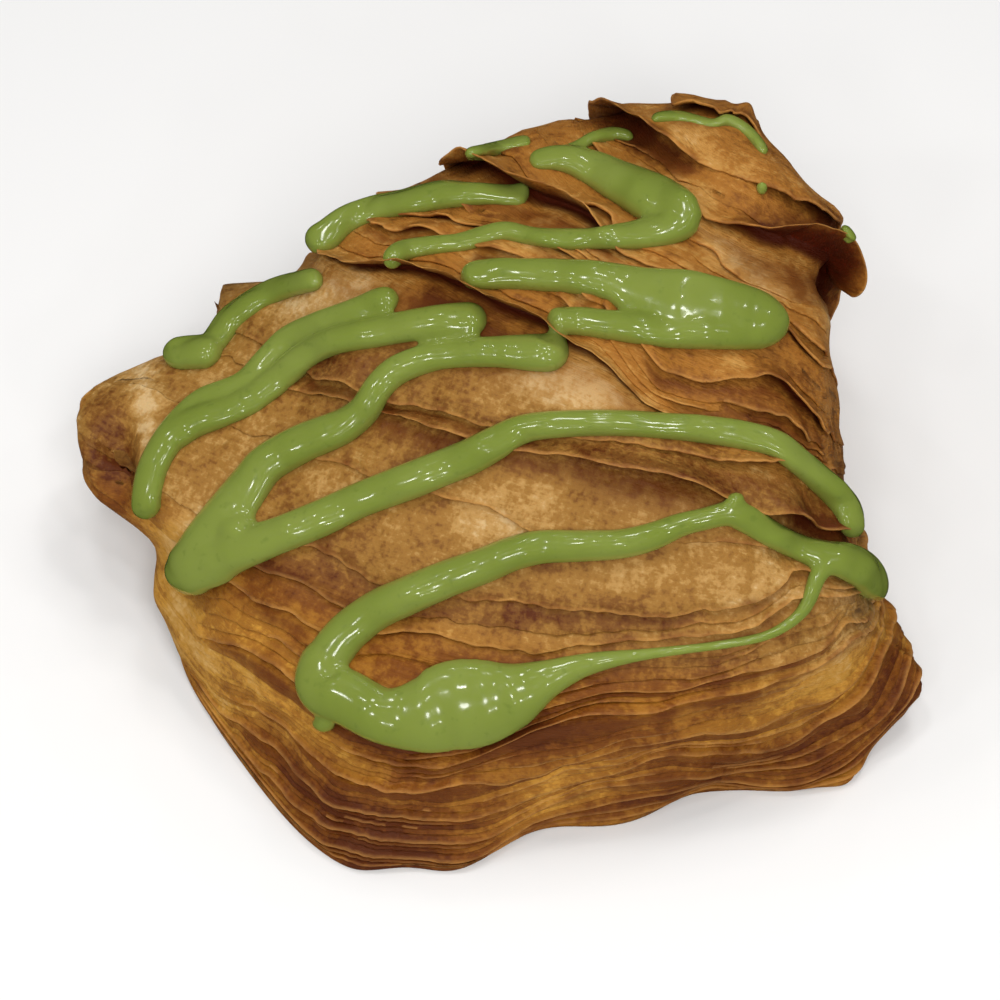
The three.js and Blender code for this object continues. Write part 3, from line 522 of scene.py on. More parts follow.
def all_edges():
    """Every free edge, from the pointed end down."""
    edges = []
    before = np.zeros_like(DEGREES)
    gap_before = np.zeros_like(DEGREES)
    for number, sheet in enumerate(SHEETS.values()):
        place, gap = named_curve(sheet)
        girth = min(1.0, THIN_GIRTH + GIRTH_FOR_PLACE * sheet.behind)
        level, swing = THIN_GAPS["stack" if sheet.behind > BANDS_END else "bands"]
        # thin leaves keep clear of the hollow under the lip above them
        clear = np.minimum(RECESS_FOR_GAP * gap_before / ALONG_MM, CLEAR_MOST * (place - before))
        for leaf in range(sheet.thin):
            share = (leaf + 1) / (sheet.thin + 1)
            seed = 100 + 10 * number + leaf
            drift = round_waves(DEGREES, DRIFT_WAVES, seed, THIN_DRIFT / (sheet.thin + 1), girth)
            first = before + clear
            between = first + (place - first) * np.clip(share + drift, *DRIFT_ENDS)
            between = between + ragged(seed + 300, THIN_TORN, girth) / ALONG_MM
            small = level + round_waves(DEGREES, GAP_WAVES, seed + 50, swing, girth)
            shown = showing(sheet.bare, seed + 70, girth)
            edges.append(Edge(between, small * shown - LEAF * (1 - shown), THIN_TUCK, CURL_THIN, False))
        place = place + ragged(900 + number, NAMED_TORN, girth) / ALONG_MM
        wavy = round_waves(DEGREES, NAMED_GAP_WAVES, 700 + number, NAMED_SWING, girth)
        gap_here = gap * (1 + wavy) + GAP_FOR_SWING * wavy
        edges.append(Edge(place, gap_here, sheet.tuck, sheet.curl, True))
        before, gap_before = place, np.maximum(gap, 0)
    for leaf in range(LAST_LEAVES):
        share = (leaf + 1) / (LAST_LEAVES + 1)
        drift = round_waves(DEGREES, LAST_WAVES, 800 + leaf, 0.1)
        place = before + (1 - before) * (share + drift)
        edges.append(Edge(place, LAST_GAP + 0 * before, LAST_TUCK, CURL_THIN, False))
    open_slits(edges)
    return edges


# ------------------------------------------------------------------ the leafy surface

LEAST_NAMED = 0.010  # least share of the body between an edge and the one above
LEAST_THIN = 0.0065
LAST_PLACE = 0.994  # lowest place of the last edge
ROOM_BELOW = 0.00325  # room kept for each edge below one
LEAST_BELOW = 0.0035
FRONT_HALF = 115  # degrees either way of the front in which columns are closer together
FRONT_FADE = 8
BEHIND_DENSITY = 0.35
NAMED_STEP = 1.2  # millimetres between the rows of a sheet's face
THIN_STEP = 2.0
FEWEST_STEPS, MOST_STEPS = 2, 16
SHORT_OF_EDGE = 0.0008  # how far the last of those rows stops short of the free edge
ROOT_THICK = 0.12  # how much of a sheet is left over the deepest part of the gap

# From the belly down the sheets lie like the pages of a book, with open slots between them.
PAGES_FROM = 0.655  # place along the body
PAGES_FULL = 0.735
SLOT = 0.24  # width of a slot
SLOT_FOR_GAP = 0.62  # and more for each millimetre of gap
LIP_FOR_GAP = 0.45  # how far a page's edge stands off for each millimetre of gap
DIG = 1.5  # how deep a slot goes in
DIG_FOR_GAP = 0.5
PAGE_CURL = 0.55
PAGE_SHADE = 0.45  # how much darker a page is just below the one above
PAGE_SHADE_REACH = 0.9
HOLLOW_SHADE, HOLLOW_SHADE_FOR_GAP = 0.8, 1.5  # how far the shade in a hollow reaches, in millimetres
SHUT_BELOW, SHUT_OVER = 0.15, 0.8  # millimetres up to which sheets stay shut, and over which they open
SHUT_FACING, SHUT_FADE = 0.95, 0.5  # the same for how far their normals are turned from straight down
SLOT_MOST = 0.45  # most of the room under an edge that a slot takes
TUCK_LEAST = 1.2  # least depth of a gap in millimetres
NAMED_DEEPER = 1.3
# How far a gap reaches back: most of the sheet's length, millimetres more, and the limit with them.
BACK_MOST, BACK_EXTRA, BACK_LIMIT = 0.8, 0.12, 0.85
RIM_FAR = 99.0  # distance to a free edge where there is none


def column_angles():
    """Side angles of the columns, closer together on the domed front than behind."""
    fine = np.linspace(-180, 180, 3601)
    left, right = 1 + np.exp(-(fine + FRONT_HALF) / FRONT_FADE), 1 + np.exp((fine - FRONT_HALF) / FRONT_FADE)
    density = BEHIND_DENSITY + 1 / (left * right)
    total = np.concatenate([[0], np.cumsum((density[1:] + density[:-1]) / 2)])
    places = np.linspace(0, total[-1], COLUMNS, endpoint=False)
    return np.interp(places, total, fine) + 90


def spaced(places, named):
    """Edge places kept in order and apart, from both ends of the body."""
    least = np.where(named, LEAST_NAMED, LEAST_THIN)
    count = len(places)
    for k in range(1, count):
        places[k] = np.maximum(places[k], places[k - 1] + least[k])
    for k in range(count):
        places[k] = np.minimum(places[k], LAST_PLACE - ROOM_BELOW * (count - 1 - k))
    for k in range(count - 2, -1, -1):
        places[k] = np.minimum(places[k], places[k + 1] - LEAST_BELOW)
    return places


class Rows:
    """Rows of the surface from tip to underside: place, offset from the body, and finish values, painted
    shade among them.
    """

    def __init__(self, width):
        self.blank = np.zeros(width)
        self.kept = []

    def add(self, along, offset, tuck=0.0, rim=RIM_FAR, order=0.0, shade=0.0):
        self.kept.append([value + self.blank for value in (along, offset, tuck, rim, order, shade)])

    def stacked(self):
        return [np.array(values) for values in zip(*self.kept)]


def add_sheet(rows, order, sheet):
    """The rows of one sheet: its face, its free edge, its underside and the face below the gap."""
    start, end, speed, back = sheet.start, sheet.end, sheet.speed, sheet.back
    off, thick, slot, opened = sheet.off, sheet.thick, sheet.slot, sheet.opened
    paged, hollow, seen = sheet.paged, sheet.hollow, sheet.seen
    curl = sheet.curl * (1 - paged) + PAGE_CURL * paged
    span = end - start
    hidden = RIM_FAR * (1 - seen)

    def lift(along):
        return off * np.clip((along - start) / span, 0, 1)**curl

    def underside(share):
        roof = lift(end - back * share) - thick
        pit = (off - thick) * (1 - share) - sheet.dig * share
        return np.where(paged > 0, np.minimum(roof, pit), roof)

    step = NAMED_STEP if sheet.named else THIN_STEP
    faces = int(np.clip(np.median(span * speed) / step, FEWEST_STEPS, MOST_STEPS)) + 1
    for i in range(1, faces + 1):
        along = start + span * i / faces - (SHORT_OF_EDGE if i == faces else 0)
        below = (along - start) * speed
        # painted shade: the face is painted darker in the hollow under the lip above
        shade_reach = HOLLOW_SHADE + HOLLOW_SHADE_FOR_GAP * hollow
        shade = np.clip(hollow, 0, 1) * np.exp(-(below / shade_reach)**2)
        paged_shade = PAGE_SHADE * sheet.above * paged * np.exp(-(below / PAGE_SHADE_REACH)**2)
        shade = np.maximum(shade, paged_shade)
        rows.add(along, lift(along), rim=(end - along) * speed + hidden, order=order, shade=shade)
    # from the free edge in, the third value is tuck: painted shade in the gap under the sheet, darkest at
    # its root
    rows.add(end, off - 0.35 * thick, 0.1 * seen, hidden, order)
    rows.add(end - 0.0006 * opened + 0.0004 * (1 - opened), off - thick, 0.3 * seen, 0.2 + hidden, order)
    inner = 3 if sheet.named else 1
    for i in range(1, inner + 1):
        share = i / inner
        rows.add(end - back * share, underside(share), (0.3 + 0.7 * share) * seen, order=order)
    deepest = underside(1.0) - ROOT_THICK * opened * seen
    root = end - back
    for i in range(inner):
        share = i / inner
        tuck = (1.0 - 0.7 * share) * seen
        rows.add(root + (back + slot) * share, deepest * (1 - share), tuck, order=order + 1)
    rows.add(end + slot, 0.0, 0.15 * seen, order=order + 1)


def from_above(values):
    """For each edge the values of the edge above it, and zeros for the first."""
    return np.vstack([np.zeros((1, values.shape[1])), values[:-1]])


def leafy_rows(angles):
    """Rows of the whole surface on columns at the side angles."""
    degrees = np.degrees(angles) % 360
    wrapped = np.concatenate([DEGREES, [360]])

    def at_columns(curve):
        return np.interp(degrees, wrapped, np.concatenate([curve, curve[:1]]))

    edges = all_edges()
    named = np.array([edge.named for edge in edges])
    tuck = np.array([edge.tuck for edge in edges])[:, None]
    gaps = np.array([at_columns(edge.gap) for edge in edges])
    ends = spaced(np.array([at_columns(edge.place) for edge in edges]), named)
    points, normals, speed = body_frame(ends, angles[None, :] + 0 * ends)
    # on the underside the sheets are pressed shut
    opened = eased((points[..., 2] - SHUT_BELOW) / SHUT_OVER)
    opened = opened * eased((normals[..., 2] + SHUT_FACING) / SHUT_FADE)
    paged = eased((ends - PAGES_FROM) / (PAGES_FULL - PAGES_FROM))
    wide = np.maximum(gaps, 0)
    before = from_above(ends)
    room = (ends - before) * speed
    seen = np.clip((gaps + LEAF) / LEAF, 0, 1)
    slot = np.minimum((SLOT + SLOT_FOR_GAP * wide) * paged * opened * seen,
                      SLOT_MOST * np.vstack([room[1:], room[-1:]]))
    starts = before + from_above(slot / speed)
    off = np.maximum(LEAF + gaps * (1 - paged * (1 - LIP_FOR_GAP)), 0) * opened
    thick = LEAF * opened * seen
    dig = (DIG + DIG_FOR_GAP * wide) * paged * opened * seen
    deep = (TUCK_LEAST + tuck * wide) * np.where(named, NAMED_DEEPER, 1.0)[:, None]
    room = (ends - starts) * speed
    back = np.minimum(deep, BACK_MOST * room) * opened + BACK_EXTRA
    back = np.minimum(back, BACK_LIMIT * room) / speed
    each = {"start": starts, "end": ends, "speed": speed, "off": off, "thick": thick, "back": back,
            "slot": slot / speed, "dig": dig, "opened": opened, "paged": paged, "named": named,
            "curl": [edge.curl for edge in edges], "hollow": from_above(wide * opened), "seen": seen,
            "above": from_above(seen)}
    rows = Rows(len(angles))
    rows.add(0.0, 0.0)
    for k in range(len(edges)):
        add_sheet(rows, k, SimpleNamespace(**{name: values[k] for name, values in each.items()}))
    last = ends[-1] + slot[-1] / speed[-1]
    for share in (1 / 3, 2 / 3, 1):
        rows.add(last + (1 - last) * share, 0.0, order=len(edges))
    return rows.stacked()


# Dents and bumps that one can point at: mark, rise (dents are negative) and radius in millimetres.
DENTS = [
    (108, 432, -2.6, 1.9), (111, 456, -3.4, 2.3), (113, 480, -3, 2.2), (103, 432, -0.8, 0.9),
    (118, 468, -0.8, 1), (130, 460, 0.9, 1.4), (92, 410, 0.8, 2.4), (93, 440, 1.2, 1.6),
    (94, 466, 1.3, 1.6), (100, 492, 1.2, 1.8), (800, 530, -3, 3), (830, 526, -3.4, 3),
]


RELIEF = [(0.55, 30, 11), (0.28, 13, 12), (0.10, 5, 13)]  # height, wavelength and seed
RELIEF_FROM, RELIEF_OVER = 1.0, 8.0  # millimetres above the table where it starts, and comes up over


def dented(points):
    """How far dents and bumps move the surface, in millimetres along the normal."""
    move = np.zeros(points.shape[:-1])
    for x, y, rise, radius in DENTS:
        best, _ = spot_at(x, y, LEAF)
        away = np.linalg.norm(points - GRID[2][best], axis=-1)
        move += rise * np.exp(-(away / radius)**2 / 2)
    return move


def pastry_surface():
    """The whole surface as a grid, in millimetres, with its finish values, painted shade among them."""
    angles = np.radians(column_angles())
    along, offset, tuck, rim, order, shade = leafy_rows(angles)
    angle = angles[None, :] + 0 * along
    points, normals, _ = body_frame(np.clip(along, 0, 1), angle)
    above = eased((points[..., 2] - RELIEF_FROM) / RELIEF_OVER)
    relief = sum(height * ripple(points, wavelength, seed) for height, wavelength, seed in RELIEF)
    moved = points + normals * (offset + above * (relief + dented(points)))[..., None]
    moved[..., 2] = np.maximum(moved[..., 2], 0)
    finish_and_painted_light = {"tuck": tuck, "rim": rim, "shade": shade, "sheet": order, "along": along,
              "round_x": np.cos(angle), "round_y": np.sin(angle)}
    return moved, finish_and_painted_light


def parting_row(finish_and_painted_light):
    """The row deepest under the edge where the two meshes of the pastry meet."""
    edges_above = 0
    for name, sheet in SHEETS.items():
        edges_above += sheet.thin + 1
        if name == PARTED_AFTER:
            break
    return int(np.flatnonzero((finish_and_painted_light["sheet"] == edges_above - 1).all(axis=1))[-1])


def closed_grid(grid):
    """Vertices and faces of a grid that goes round along its columns, with a fan at each end."""
    count, width = grid.shape[:2]
    index = np.arange(count * width).reshape(count, width)
    beside = np.roll(index, -1, axis=1)
    quads = np.stack([index[:-1], index[1:], beside[1:], beside[:-1]], -1).reshape(-1, 4)
    top, bottom = count * width, count * width + 1
    vertices = np.vstack([grid.reshape(-1, 3), grid[0].mean(axis=0), grid[-1].mean(axis=0)])
    fans = [(top, int(a), int(b)) for a, b in zip(index[0], beside[0])]
    fans += [(bottom, int(b), int(a)) for a, b in zip(index[-1], beside[-1])]
    return vertices, quads.tolist() + fans


def closed_rows(moved, finish_and_painted_light, first, last):
    """Vertices, faces and finish values, painted shade among them, of some rows of the surface, closed at
    both ends.
    """
    vertices, faces = closed_grid(moved[first:last + 1])
    values = {}
    for name, rows in finish_and_painted_light.items():
        part = rows[first:last + 1]
        values[name] = np.append(part.ravel(), [part[0].mean(), part[-1].mean()])
    return vertices, faces, values


# ------------------------------------------------------------------ colour patches on the pastry

# Places painted paler or darker than the rest, some baked so, some painted shade in hollows, under lips and
# the drizzle: mark, half width and half height in marks, turn in degrees, and strength (positive is pale,
# negative is brown).
PATCHES = [
    # the cream hollow under the third band, and pale places on the belly
    (572, 376, 50, 20, 18, 1.2), (560, 392, 60, 16, 12, 0.4), (485, 548, 30, 22, -20, 0.5),
    (505, 505, 40, 14, 20, 0.4), (760, 604, 60, 18, -8, 0.6), (141, 412, 9, 46, -10, 1.4),
    (378, 284, 40, 16, 15, 1.5), (300, 300, 34, 20, 0, 0.9), (130, 362, 50, 24, 0, 0.5),
    (184, 540, 20, 30, 0, 1.2), (180, 610, 14, 36, -20, 0.4), (250, 365, 60, 20, -40, 0.3),
    (790, 522, 12, 8, 10, 0.7),
    # gold on the bands and the stack
    (700, 150, 50, 14, 35, 0.4), (575, 205, 30, 16, 35, 0.4), (735, 256, 44, 18, 40, 0.6),
    (700, 182, 26, 16, 40, 0.6), (610, 256, 40, 12, 10, 0.5), (430, 190, 40, 12, -10, 0.4),
    (664, 188, 22, 10, 35, 0.8), (850, 655, 20, 50, 40, 0.4), (800, 695, 50, 14, -20, 0.4),
    (200, 660, 14, 60, -30, 0.6), (275, 712, 40, 14, 40, 0.3), (330, 755, 40, 14, 30, 0.3),
    (560, 792, 60, 12, -14, 0.4), (905, 615, 20, 20, 0, 0.5), (840, 312, 16, 40, 0, 0.3),
    # brown places, some baked so and some painted shade: in hollows, under lips and the drizzle, and darker
    # towards the lower left
    (440, 308, 70, 16, 25, -1.2), (700, 385, 50, 10, 0, -0.5), (795, 395, 30, 30, 40, -0.6),
    (280, 590, 70, 26, 25, -0.7), (400, 634, 80, 26, 15, -0.5), (350, 675, 40, 20, 20, -0.2),
    (360, 550, 40, 24, 20, -0.5), (570, 562, 80, 12, 0, -0.6), (330, 365, 60, 14, 20, -0.4),
    (440, 440, 60, 14, 10, -0.6), (270, 495, 60, 20, 25, -0.5), (560, 440, 60, 12, 5, -0.4),
    (740, 435, 60, 12, 10, -0.4), (420, 500, 60, 14, -15, -0.3), (700, 480, 110, 14, 12, -0.9),
    (790, 435, 60, 16, 25, -0.8), (640, 612, 100, 14, 0, -0.8), (470, 735, 110, 16, 0, -1.4),
    (370, 745, 40, 12, 25, -0.6), (560, 728, 90, 12, -10, -0.4), (500, 672, 80, 12, 0, -0.8),
    (640, 680, 90, 16, -5, -0.5), (108, 455, 24, 50, 0, -1), (115, 496, 26, 22, 30, -0.6),
    (95, 400, 14, 20, 0, -0.4), (845, 265, 24, 30, 0, -0.9), (822, 522, 30, 12, 8, -1.2),
    (850, 545, 20, 14, 20, -1.2), (740, 130, 40, 30, 25, -0.2), (330, 815, 110, 34, 40, -1.2),
    (430, 800, 70, 18, 0, -0.5), (430, 845, 90, 22, 0, -0.7), (905, 670, 20, 60, 0, -0.8),
    (850, 730, 60, 22, -30, -0.4), (740, 775, 110, 18, -5, -0.8), (620, 812, 40, 10, -10, -0.6),
    (634, 131, 34, 9, 38, -2.2), (682, 160, 24, 7, 32, -1.2), (800, 238, 40, 9, 12, -1.5),
    (834, 266, 15, 32, -10, -1.5),
]
PATCH_DEPTH = 14.0  # millimetres that a patch reaches along the line of sight
PATCH_FALL = 1.2  # how fast a patch fades outwards


def baked_and_shade_patches(points):
    """Paleness of each vertex from the patches, painted shade among them: above 0 pale, below 0 brown."""
    total = np.zeros(len(points))
    for x, y, wide, high, turn, strength in PATCHES:
        best, _ = spot_at(x, y, LEAF)
        away = points - GRID[2][best]
        u, v, w = away @ ACROSS * MARKS_PER_MM, -(away @ UPWARD) * MARKS_PER_MM, away @ LOOK
        c, s = math.cos(math.radians(turn)), math.sin(math.radians(turn))
        reach = ((u * c + v * s) / wide)**2 + ((v * c - u * s) / high)**2 + (w / PATCH_DEPTH)**2
        total += strength * np.exp(-reach / 2 * PATCH_FALL)
    return total


# ------------------------------------------------------------------ Blender objects

def to_part(points):
    """Millimetres in the rings' frame to metres in the part's frame."""
    return (np.asarray(points) - MIDDLE) * MM


def mesh_object(name, vertices, faces):
    mesh = bpy.data.meshes.new(name)
    mesh.from_pydata(to_part(vertices).tolist(), [], faces)
    mesh.validate()
    mesh.update()
    made = bpy.data.objects.new(name, mesh)
    bpy.context.scene.collection.objects.link(made)
    return made


def set_values(made, name, values):
    kept = made.data.attributes.get(name) or made.data.attributes.new(name, "FLOAT", "POINT")
    kept.data.foreach_set("value", np.asarray(values, np.float32))


def get_points(made):
    """Vertices of an object in millimetres, in the rings' frame."""
    flat = np.empty(len(made.data.vertices) * 3, np.float32)
    made.data.vertices.foreach_get("co", flat)
    return flat.reshape(-1, 3).astype(float) / MM + MIDDLE


def modified(made, kind, **settings):
    """Adds a modifier and applies it."""
    modifier = made.modifiers.new(kind.title(), kind)
    for key, value in settings.items():
        setattr(modifier, key, value)
    graph = bpy.context.evaluated_depsgraph_get()
    changed = bpy.data.meshes.new_from_object(made.evaluated_get(graph))
    made.modifiers.clear()
    old = made.data
    made.data = changed
    bpy.data.meshes.remove(old)
    changed.name = made.name
    return made


def thinned(made, triangles):
    """Fewer faces where the surface is flat, down to the count of triangles."""
    made.data.calc_loop_triangles()
    count = len(made.data.loop_triangles)
    if count > triangles:
        modified(made, "DECIMATE", ratio=triangles / count)
    return made


def shade_smooth(made, count=None):
    """Smooth shading, on the first faces only if a count is given."""
    faces = len(made.data.polygons)
    made.data.polygons.foreach_set("use_smooth", [count is None or i < count for i in range(faces)])
    made.data.update()


def make_pastry():
    """The pastry's two meshes: the upper leaves, and the stack of leaves round the wide mouth."""
    moved, finish_and_painted_light = pastry_surface()
    parting = parting_row(finish_and_painted_light)
    pieces = []
    for name, first, last in (("pastry_upper", 0, parting), ("pastry_mouth", parting, len(moved) - 1)):
        vertices, faces, values = closed_rows(moved, finish_and_painted_light, first, last)
        made = mesh_object(name, vertices, faces)
        for value, numbers in values.items():
            set_values(made, value, numbers)
        shade_smooth(made, len(faces) - 2 * moved.shape[1])
        set_values(made, "baked_and_painted_shade", baked_and_shade_patches(get_points(made)))
        pieces.append(made)
    return pieces


# ------------------------------------------------------------------ drizzle

# Middle lines of the drizzle: marks with the strand's width there in millimetres.
STRANDS = [
    [(162, 355, 3.4), (178, 353, 4.4), (198, 352, 4.6), (212, 352, 4.2), (223, 354, 3)],
    [(208, 352, 3), (216, 338, 3.4), (229, 321, 3.6), (245, 308, 3.6), (262, 296, 3.2), (288, 285, 3),
     (324, 277, 2.8)],
    [(146, 520, 3.8), (147, 494, 4), (153, 468, 4), (166, 443, 4), (182, 419, 3.4), (204, 400, 3.2),
     (242, 384, 3), (266, 358, 2.6), (288, 336, 2.6), (320, 322, 2.8), (356, 310, 3), (380, 301, 3.4),
     (400, 299, 3.4)],
    [(166, 443, 4), (192, 424, 4), (226, 411, 3.8), (252, 399, 3.8), (279, 378, 3.8), (305, 355, 3.6),
     (333, 341, 3.6), (372, 333, 4), (410, 326, 4.2), (445, 322, 4.7), (470, 320, 4.8), (488, 320, 4.6)],
    [(180, 592, 7.2), (203, 550, 7), (228, 515, 6.6), (252, 482, 5.7), (267, 464, 5.4), (303, 443, 5.2),
     (342, 427, 4.8), (364, 410, 4.2), (378, 388, 4), (396, 371, 4), (422, 360, 3.9), (450, 354, 3.8),
     (500, 352, 4.2), (540, 353, 5.2), (570, 353, 4.9)],
    [(172, 576, 6.8), (200, 564, 7.4), (240, 549, 5.8), (280, 535, 5), (320, 519, 5), (360, 500, 4.8),
     (405, 483, 5), (443, 468, 4.9), (474, 455, 4.9), (494, 444, 4.6), (518, 431, 4), (547, 425, 3.7),
     (600, 423, 3.6), (640, 424, 3.5), (700, 429, 3.6), (740, 435, 3.8), (776, 444, 3.5), (797, 460, 3.5),
     (814, 474, 3.5), (832, 490, 3.7), (846, 506, 3.8), (851, 522, 3.6), (848, 538, 2.8)],
    [(192, 560, 7.2), (204, 564, 7.8), (220, 552, 7.6), (238, 534, 6.2), (256, 518, 4)],
    [(322, 668, 6.4), (331, 653, 6), (349, 631, 5.7), (377, 610, 5.4), (405, 597, 5.3), (444, 580, 5.1),
     (483, 566, 4.9), (512, 554, 4.7), (541, 547, 4.6), (580, 546, 4.3), (620, 544, 4), (650, 537, 3.8),
     (680, 525, 3.2), (700, 520, 3), (727, 514, 3.2), (744, 518, 3.8), (770, 533, 3.5), (799, 547, 3.5),
     (824, 556, 4.2), (846, 561, 5), (862, 570, 5.2), (871, 583, 4.8), (874, 600, 3.4)],
    [(336, 642, 5.4), (323, 663, 6.4), (324, 686, 7.6), (350, 699, 7.6), (385, 716, 7.7),
     (424, 715, 10.6), (452, 706, 12.4), (482, 702, 12), (512, 695, 9.4), (545, 680, 5.6),
     (575, 668, 3.6), (602, 661, 2.6), (640, 655, 1.6), (680, 650, 1.2), (720, 645, 1.1), (762, 637, 1.2),
     (786, 626, 1.3), (804, 610, 1.6), (812, 592, 2), (820, 572, 2.4), (834, 560, 2.8)],
    [(305, 243, 3.4), (325, 235, 4), (346, 219, 3.6), (372, 209, 3.5), (398, 204, 3.5), (440, 195, 3.9),
     (465, 194, 3.2), (490, 194, 2.6), (512, 195, 2.8), (530, 196, 2.6)],
    [(386, 268, 2.4), (399, 253, 2.6), (425, 246, 2.3), (457, 243, 2.2), (482, 235, 2.2), (507, 231, 2.2),
     (541, 238, 2.3), (580, 239, 2.6), (610, 237, 3.2), (640, 234, 4), (665, 227, 5.2), (676, 216, 7.2),
     (660, 203, 7.2), (640, 192, 6.6), (617, 181, 5.8), (596, 170, 5), (574, 161, 4), (553, 158, 3.2),
     (528, 161, 2.2)],
    [(652, 208, 6), (667, 214, 8.4), (688, 226, 5.6)],
    [(464, 154, 1.2), (490, 148, 1.4), (515, 143, 1.4), (532, 140, 1.2)],
    [(556, 157, 1.2), (566, 151, 1.4), (579, 145, 1.3), (592, 137, 1.2), (611, 133, 1.3), (625, 134, 1.3),
     (634, 139, 1.1)],
    [(460, 278, 3.6), (480, 275, 4), (505, 274, 4.1), (540, 275, 4.3), (580, 277, 4.6), (612, 282, 5.2),
     (645, 295, 7.8), (682, 306, 10.2), (720, 313, 9.6), (750, 319, 8.6), (770, 325, 7.2),
     (788, 331, 5.4)],
    [(546, 320, 3.4), (580, 321, 3.8), (610, 325, 4), (640, 328, 4.4), (680, 331, 4.8), (720, 334, 4.2),
     (755, 336, 3.6)],
    [(650, 119, 0.7), (664, 116, 1), (680, 116, 1.1), (698, 120, 1), (714, 123, 0.8), (726, 118, 1.1),
     (739, 124, 1.2), (752, 134, 1), (760, 143, 0.9), (767, 155, 0.7)],
    [(755, 188, 1.8), (769, 188, 1.8)],
    [(841, 225, 0.8), (848, 231, 1), (856, 242, 0.8)],
    [(730, 493, 2.2), (739, 508, 3.4)],
    [(325, 714, 3.4), (322, 733, 3)],
]
STRAND_STEP = 0.45  # between the cross sections of a strand
ACROSS_POINTS = 13  # points on a section's top
STRAND_RISE = 0.46  # height for each millimetre of width
STRAND_RISE_MOST = 2.6
STRAND_WIDER = 0.3  # width that a strand loses to smoothing and at its sunken sides
EMBED = 0.9  # how deep the drizzle sinks into the pastry
SUNK_MOST = 1.4  # and how much deeper it reaches into a gap that it lies over
BRIDGED = 3  # sections on either side over which a strand lies on the highest lip
STRAND_VOXEL = 0.34
STRAND_SMOOTHED = 16  # smoothing passes
SEEDS_FROM = 40
CURVE_POINTS = 40  # on the curve between two marks
LAID_ALONG, LAID_ACROSS = 12, 5  # passes that even out how a strand lies along and across it
FURTHER, NEARER, MISSED = 1.6, 2.2, 0.8  # how much further or nearer than its middle a strand may lie
TO_CAMERA = 0.35  # how much a strand's top is turned to the camera
LUMPS = [(0.10, 7, 0), (0.03, 3, 100)]  # share of the height, wavelength and step of the seed


def strand_line(marks):
    """Points of a smooth curve through the marks at even steps: x, y and width."""
    knots = np.array(marks, float)
    padded = np.vstack([2 * knots[0] - knots[1], knots, 2 * knots[-1] - knots[-2]])
    t = np.linspace(0, 1, CURVE_POINTS, endpoint=False)[:, None]
    pieces = []
    for a, b, c, d in zip(padded, padded[1:], padded[2:], padded[3:]):
        pieces.append(0.5 * (2 * b + (c - a) * t + (2 * a - 5 * b + 4 * c - d) * t**2
                             + (3 * b - a - 3 * c + d) * t**3))
    curve = np.vstack(pieces + [knots[-1:]])
    lengths = np.concatenate([[0], np.cumsum(np.linalg.norm(np.diff(curve[:, :2], axis=0), axis=1))])
    count = max(6, round(lengths[-1] * CAMERA_AWAY / MARKS_PER_TAN / STRAND_STEP))
    even = np.linspace(0, lengths[-1], count + 1)
    return np.stack([np.interp(even, lengths, curve[:, i]) for i in range(3)], -1) + [0, 0, STRAND_WIDER]


def smoothed_rows(values, passes):
    """Values evened out along the first axis."""
    for _ in range(passes):
        padded = np.concatenate([values[:1], values, values[-1:]])
        values = (padded[:-2] + 2 * padded[1:-1] + padded[2:]) / 4
    return values


def strand_hits(line, tree):
    """Distances from the eye to the pastry on a grid along and across one strand."""
    x, y, width = line.T
    way = np.gradient(line[:, :2], axis=0)
    way /= np.linalg.norm(way, axis=1, keepdims=True) + 1e-9
    side = np.stack([-way[:, 1], way[:, 0]], -1)
    reach = np.linspace(-1, 1, ACROSS_POINTS)
    out = (reach[None, :] * width[:, None] / 2 * MARKS_PER_MM)[..., None]
    spots = line[:, None, :2] + side[:, None] * out
    rays = np.empty(spots.shape[:2] + (3,))
    distance = np.full(spots.shape[:2], np.nan)
    eye = Vector(to_part(EYE))
    for i in range(len(line)):
        for j in range(ACROSS_POINTS):
            rays[i, j] = ray_through(*spots[i, j])
            hit = tree.ray_cast(eye, Vector(rays[i, j]))
            if hit[0] is not None:
                distance[i, j] = hit[3] / MM
    return reach, rays, distance


def filled(distance):
    """Misses and far hits past the pastry's outline take the depth of the strand's nearer part."""
    middle = np.nanmedian(distance, axis=1)
    known = np.isfinite(middle)
    middle = np.interp(np.arange(len(middle)), np.flatnonzero(known), middle[known])
    middle = smoothed_rows(middle, 4)
    middle = middle[:, None]
    near = np.clip(distance, middle - NEARER, middle + FURTHER)
    return np.where(np.isfinite(distance), near, middle + MISSED)


def bridged(distance):
    """The nearest distance among neighbouring sections, so that strands lie over the lips."""
    padded = np.pad(distance, ((BRIDGED, BRIDGED), (0, 0)), mode="edge")
    shifted = [padded[i:i + len(distance)] for i in range(2 * BRIDGED + 1)]
    return np.min(shifted, axis=0)


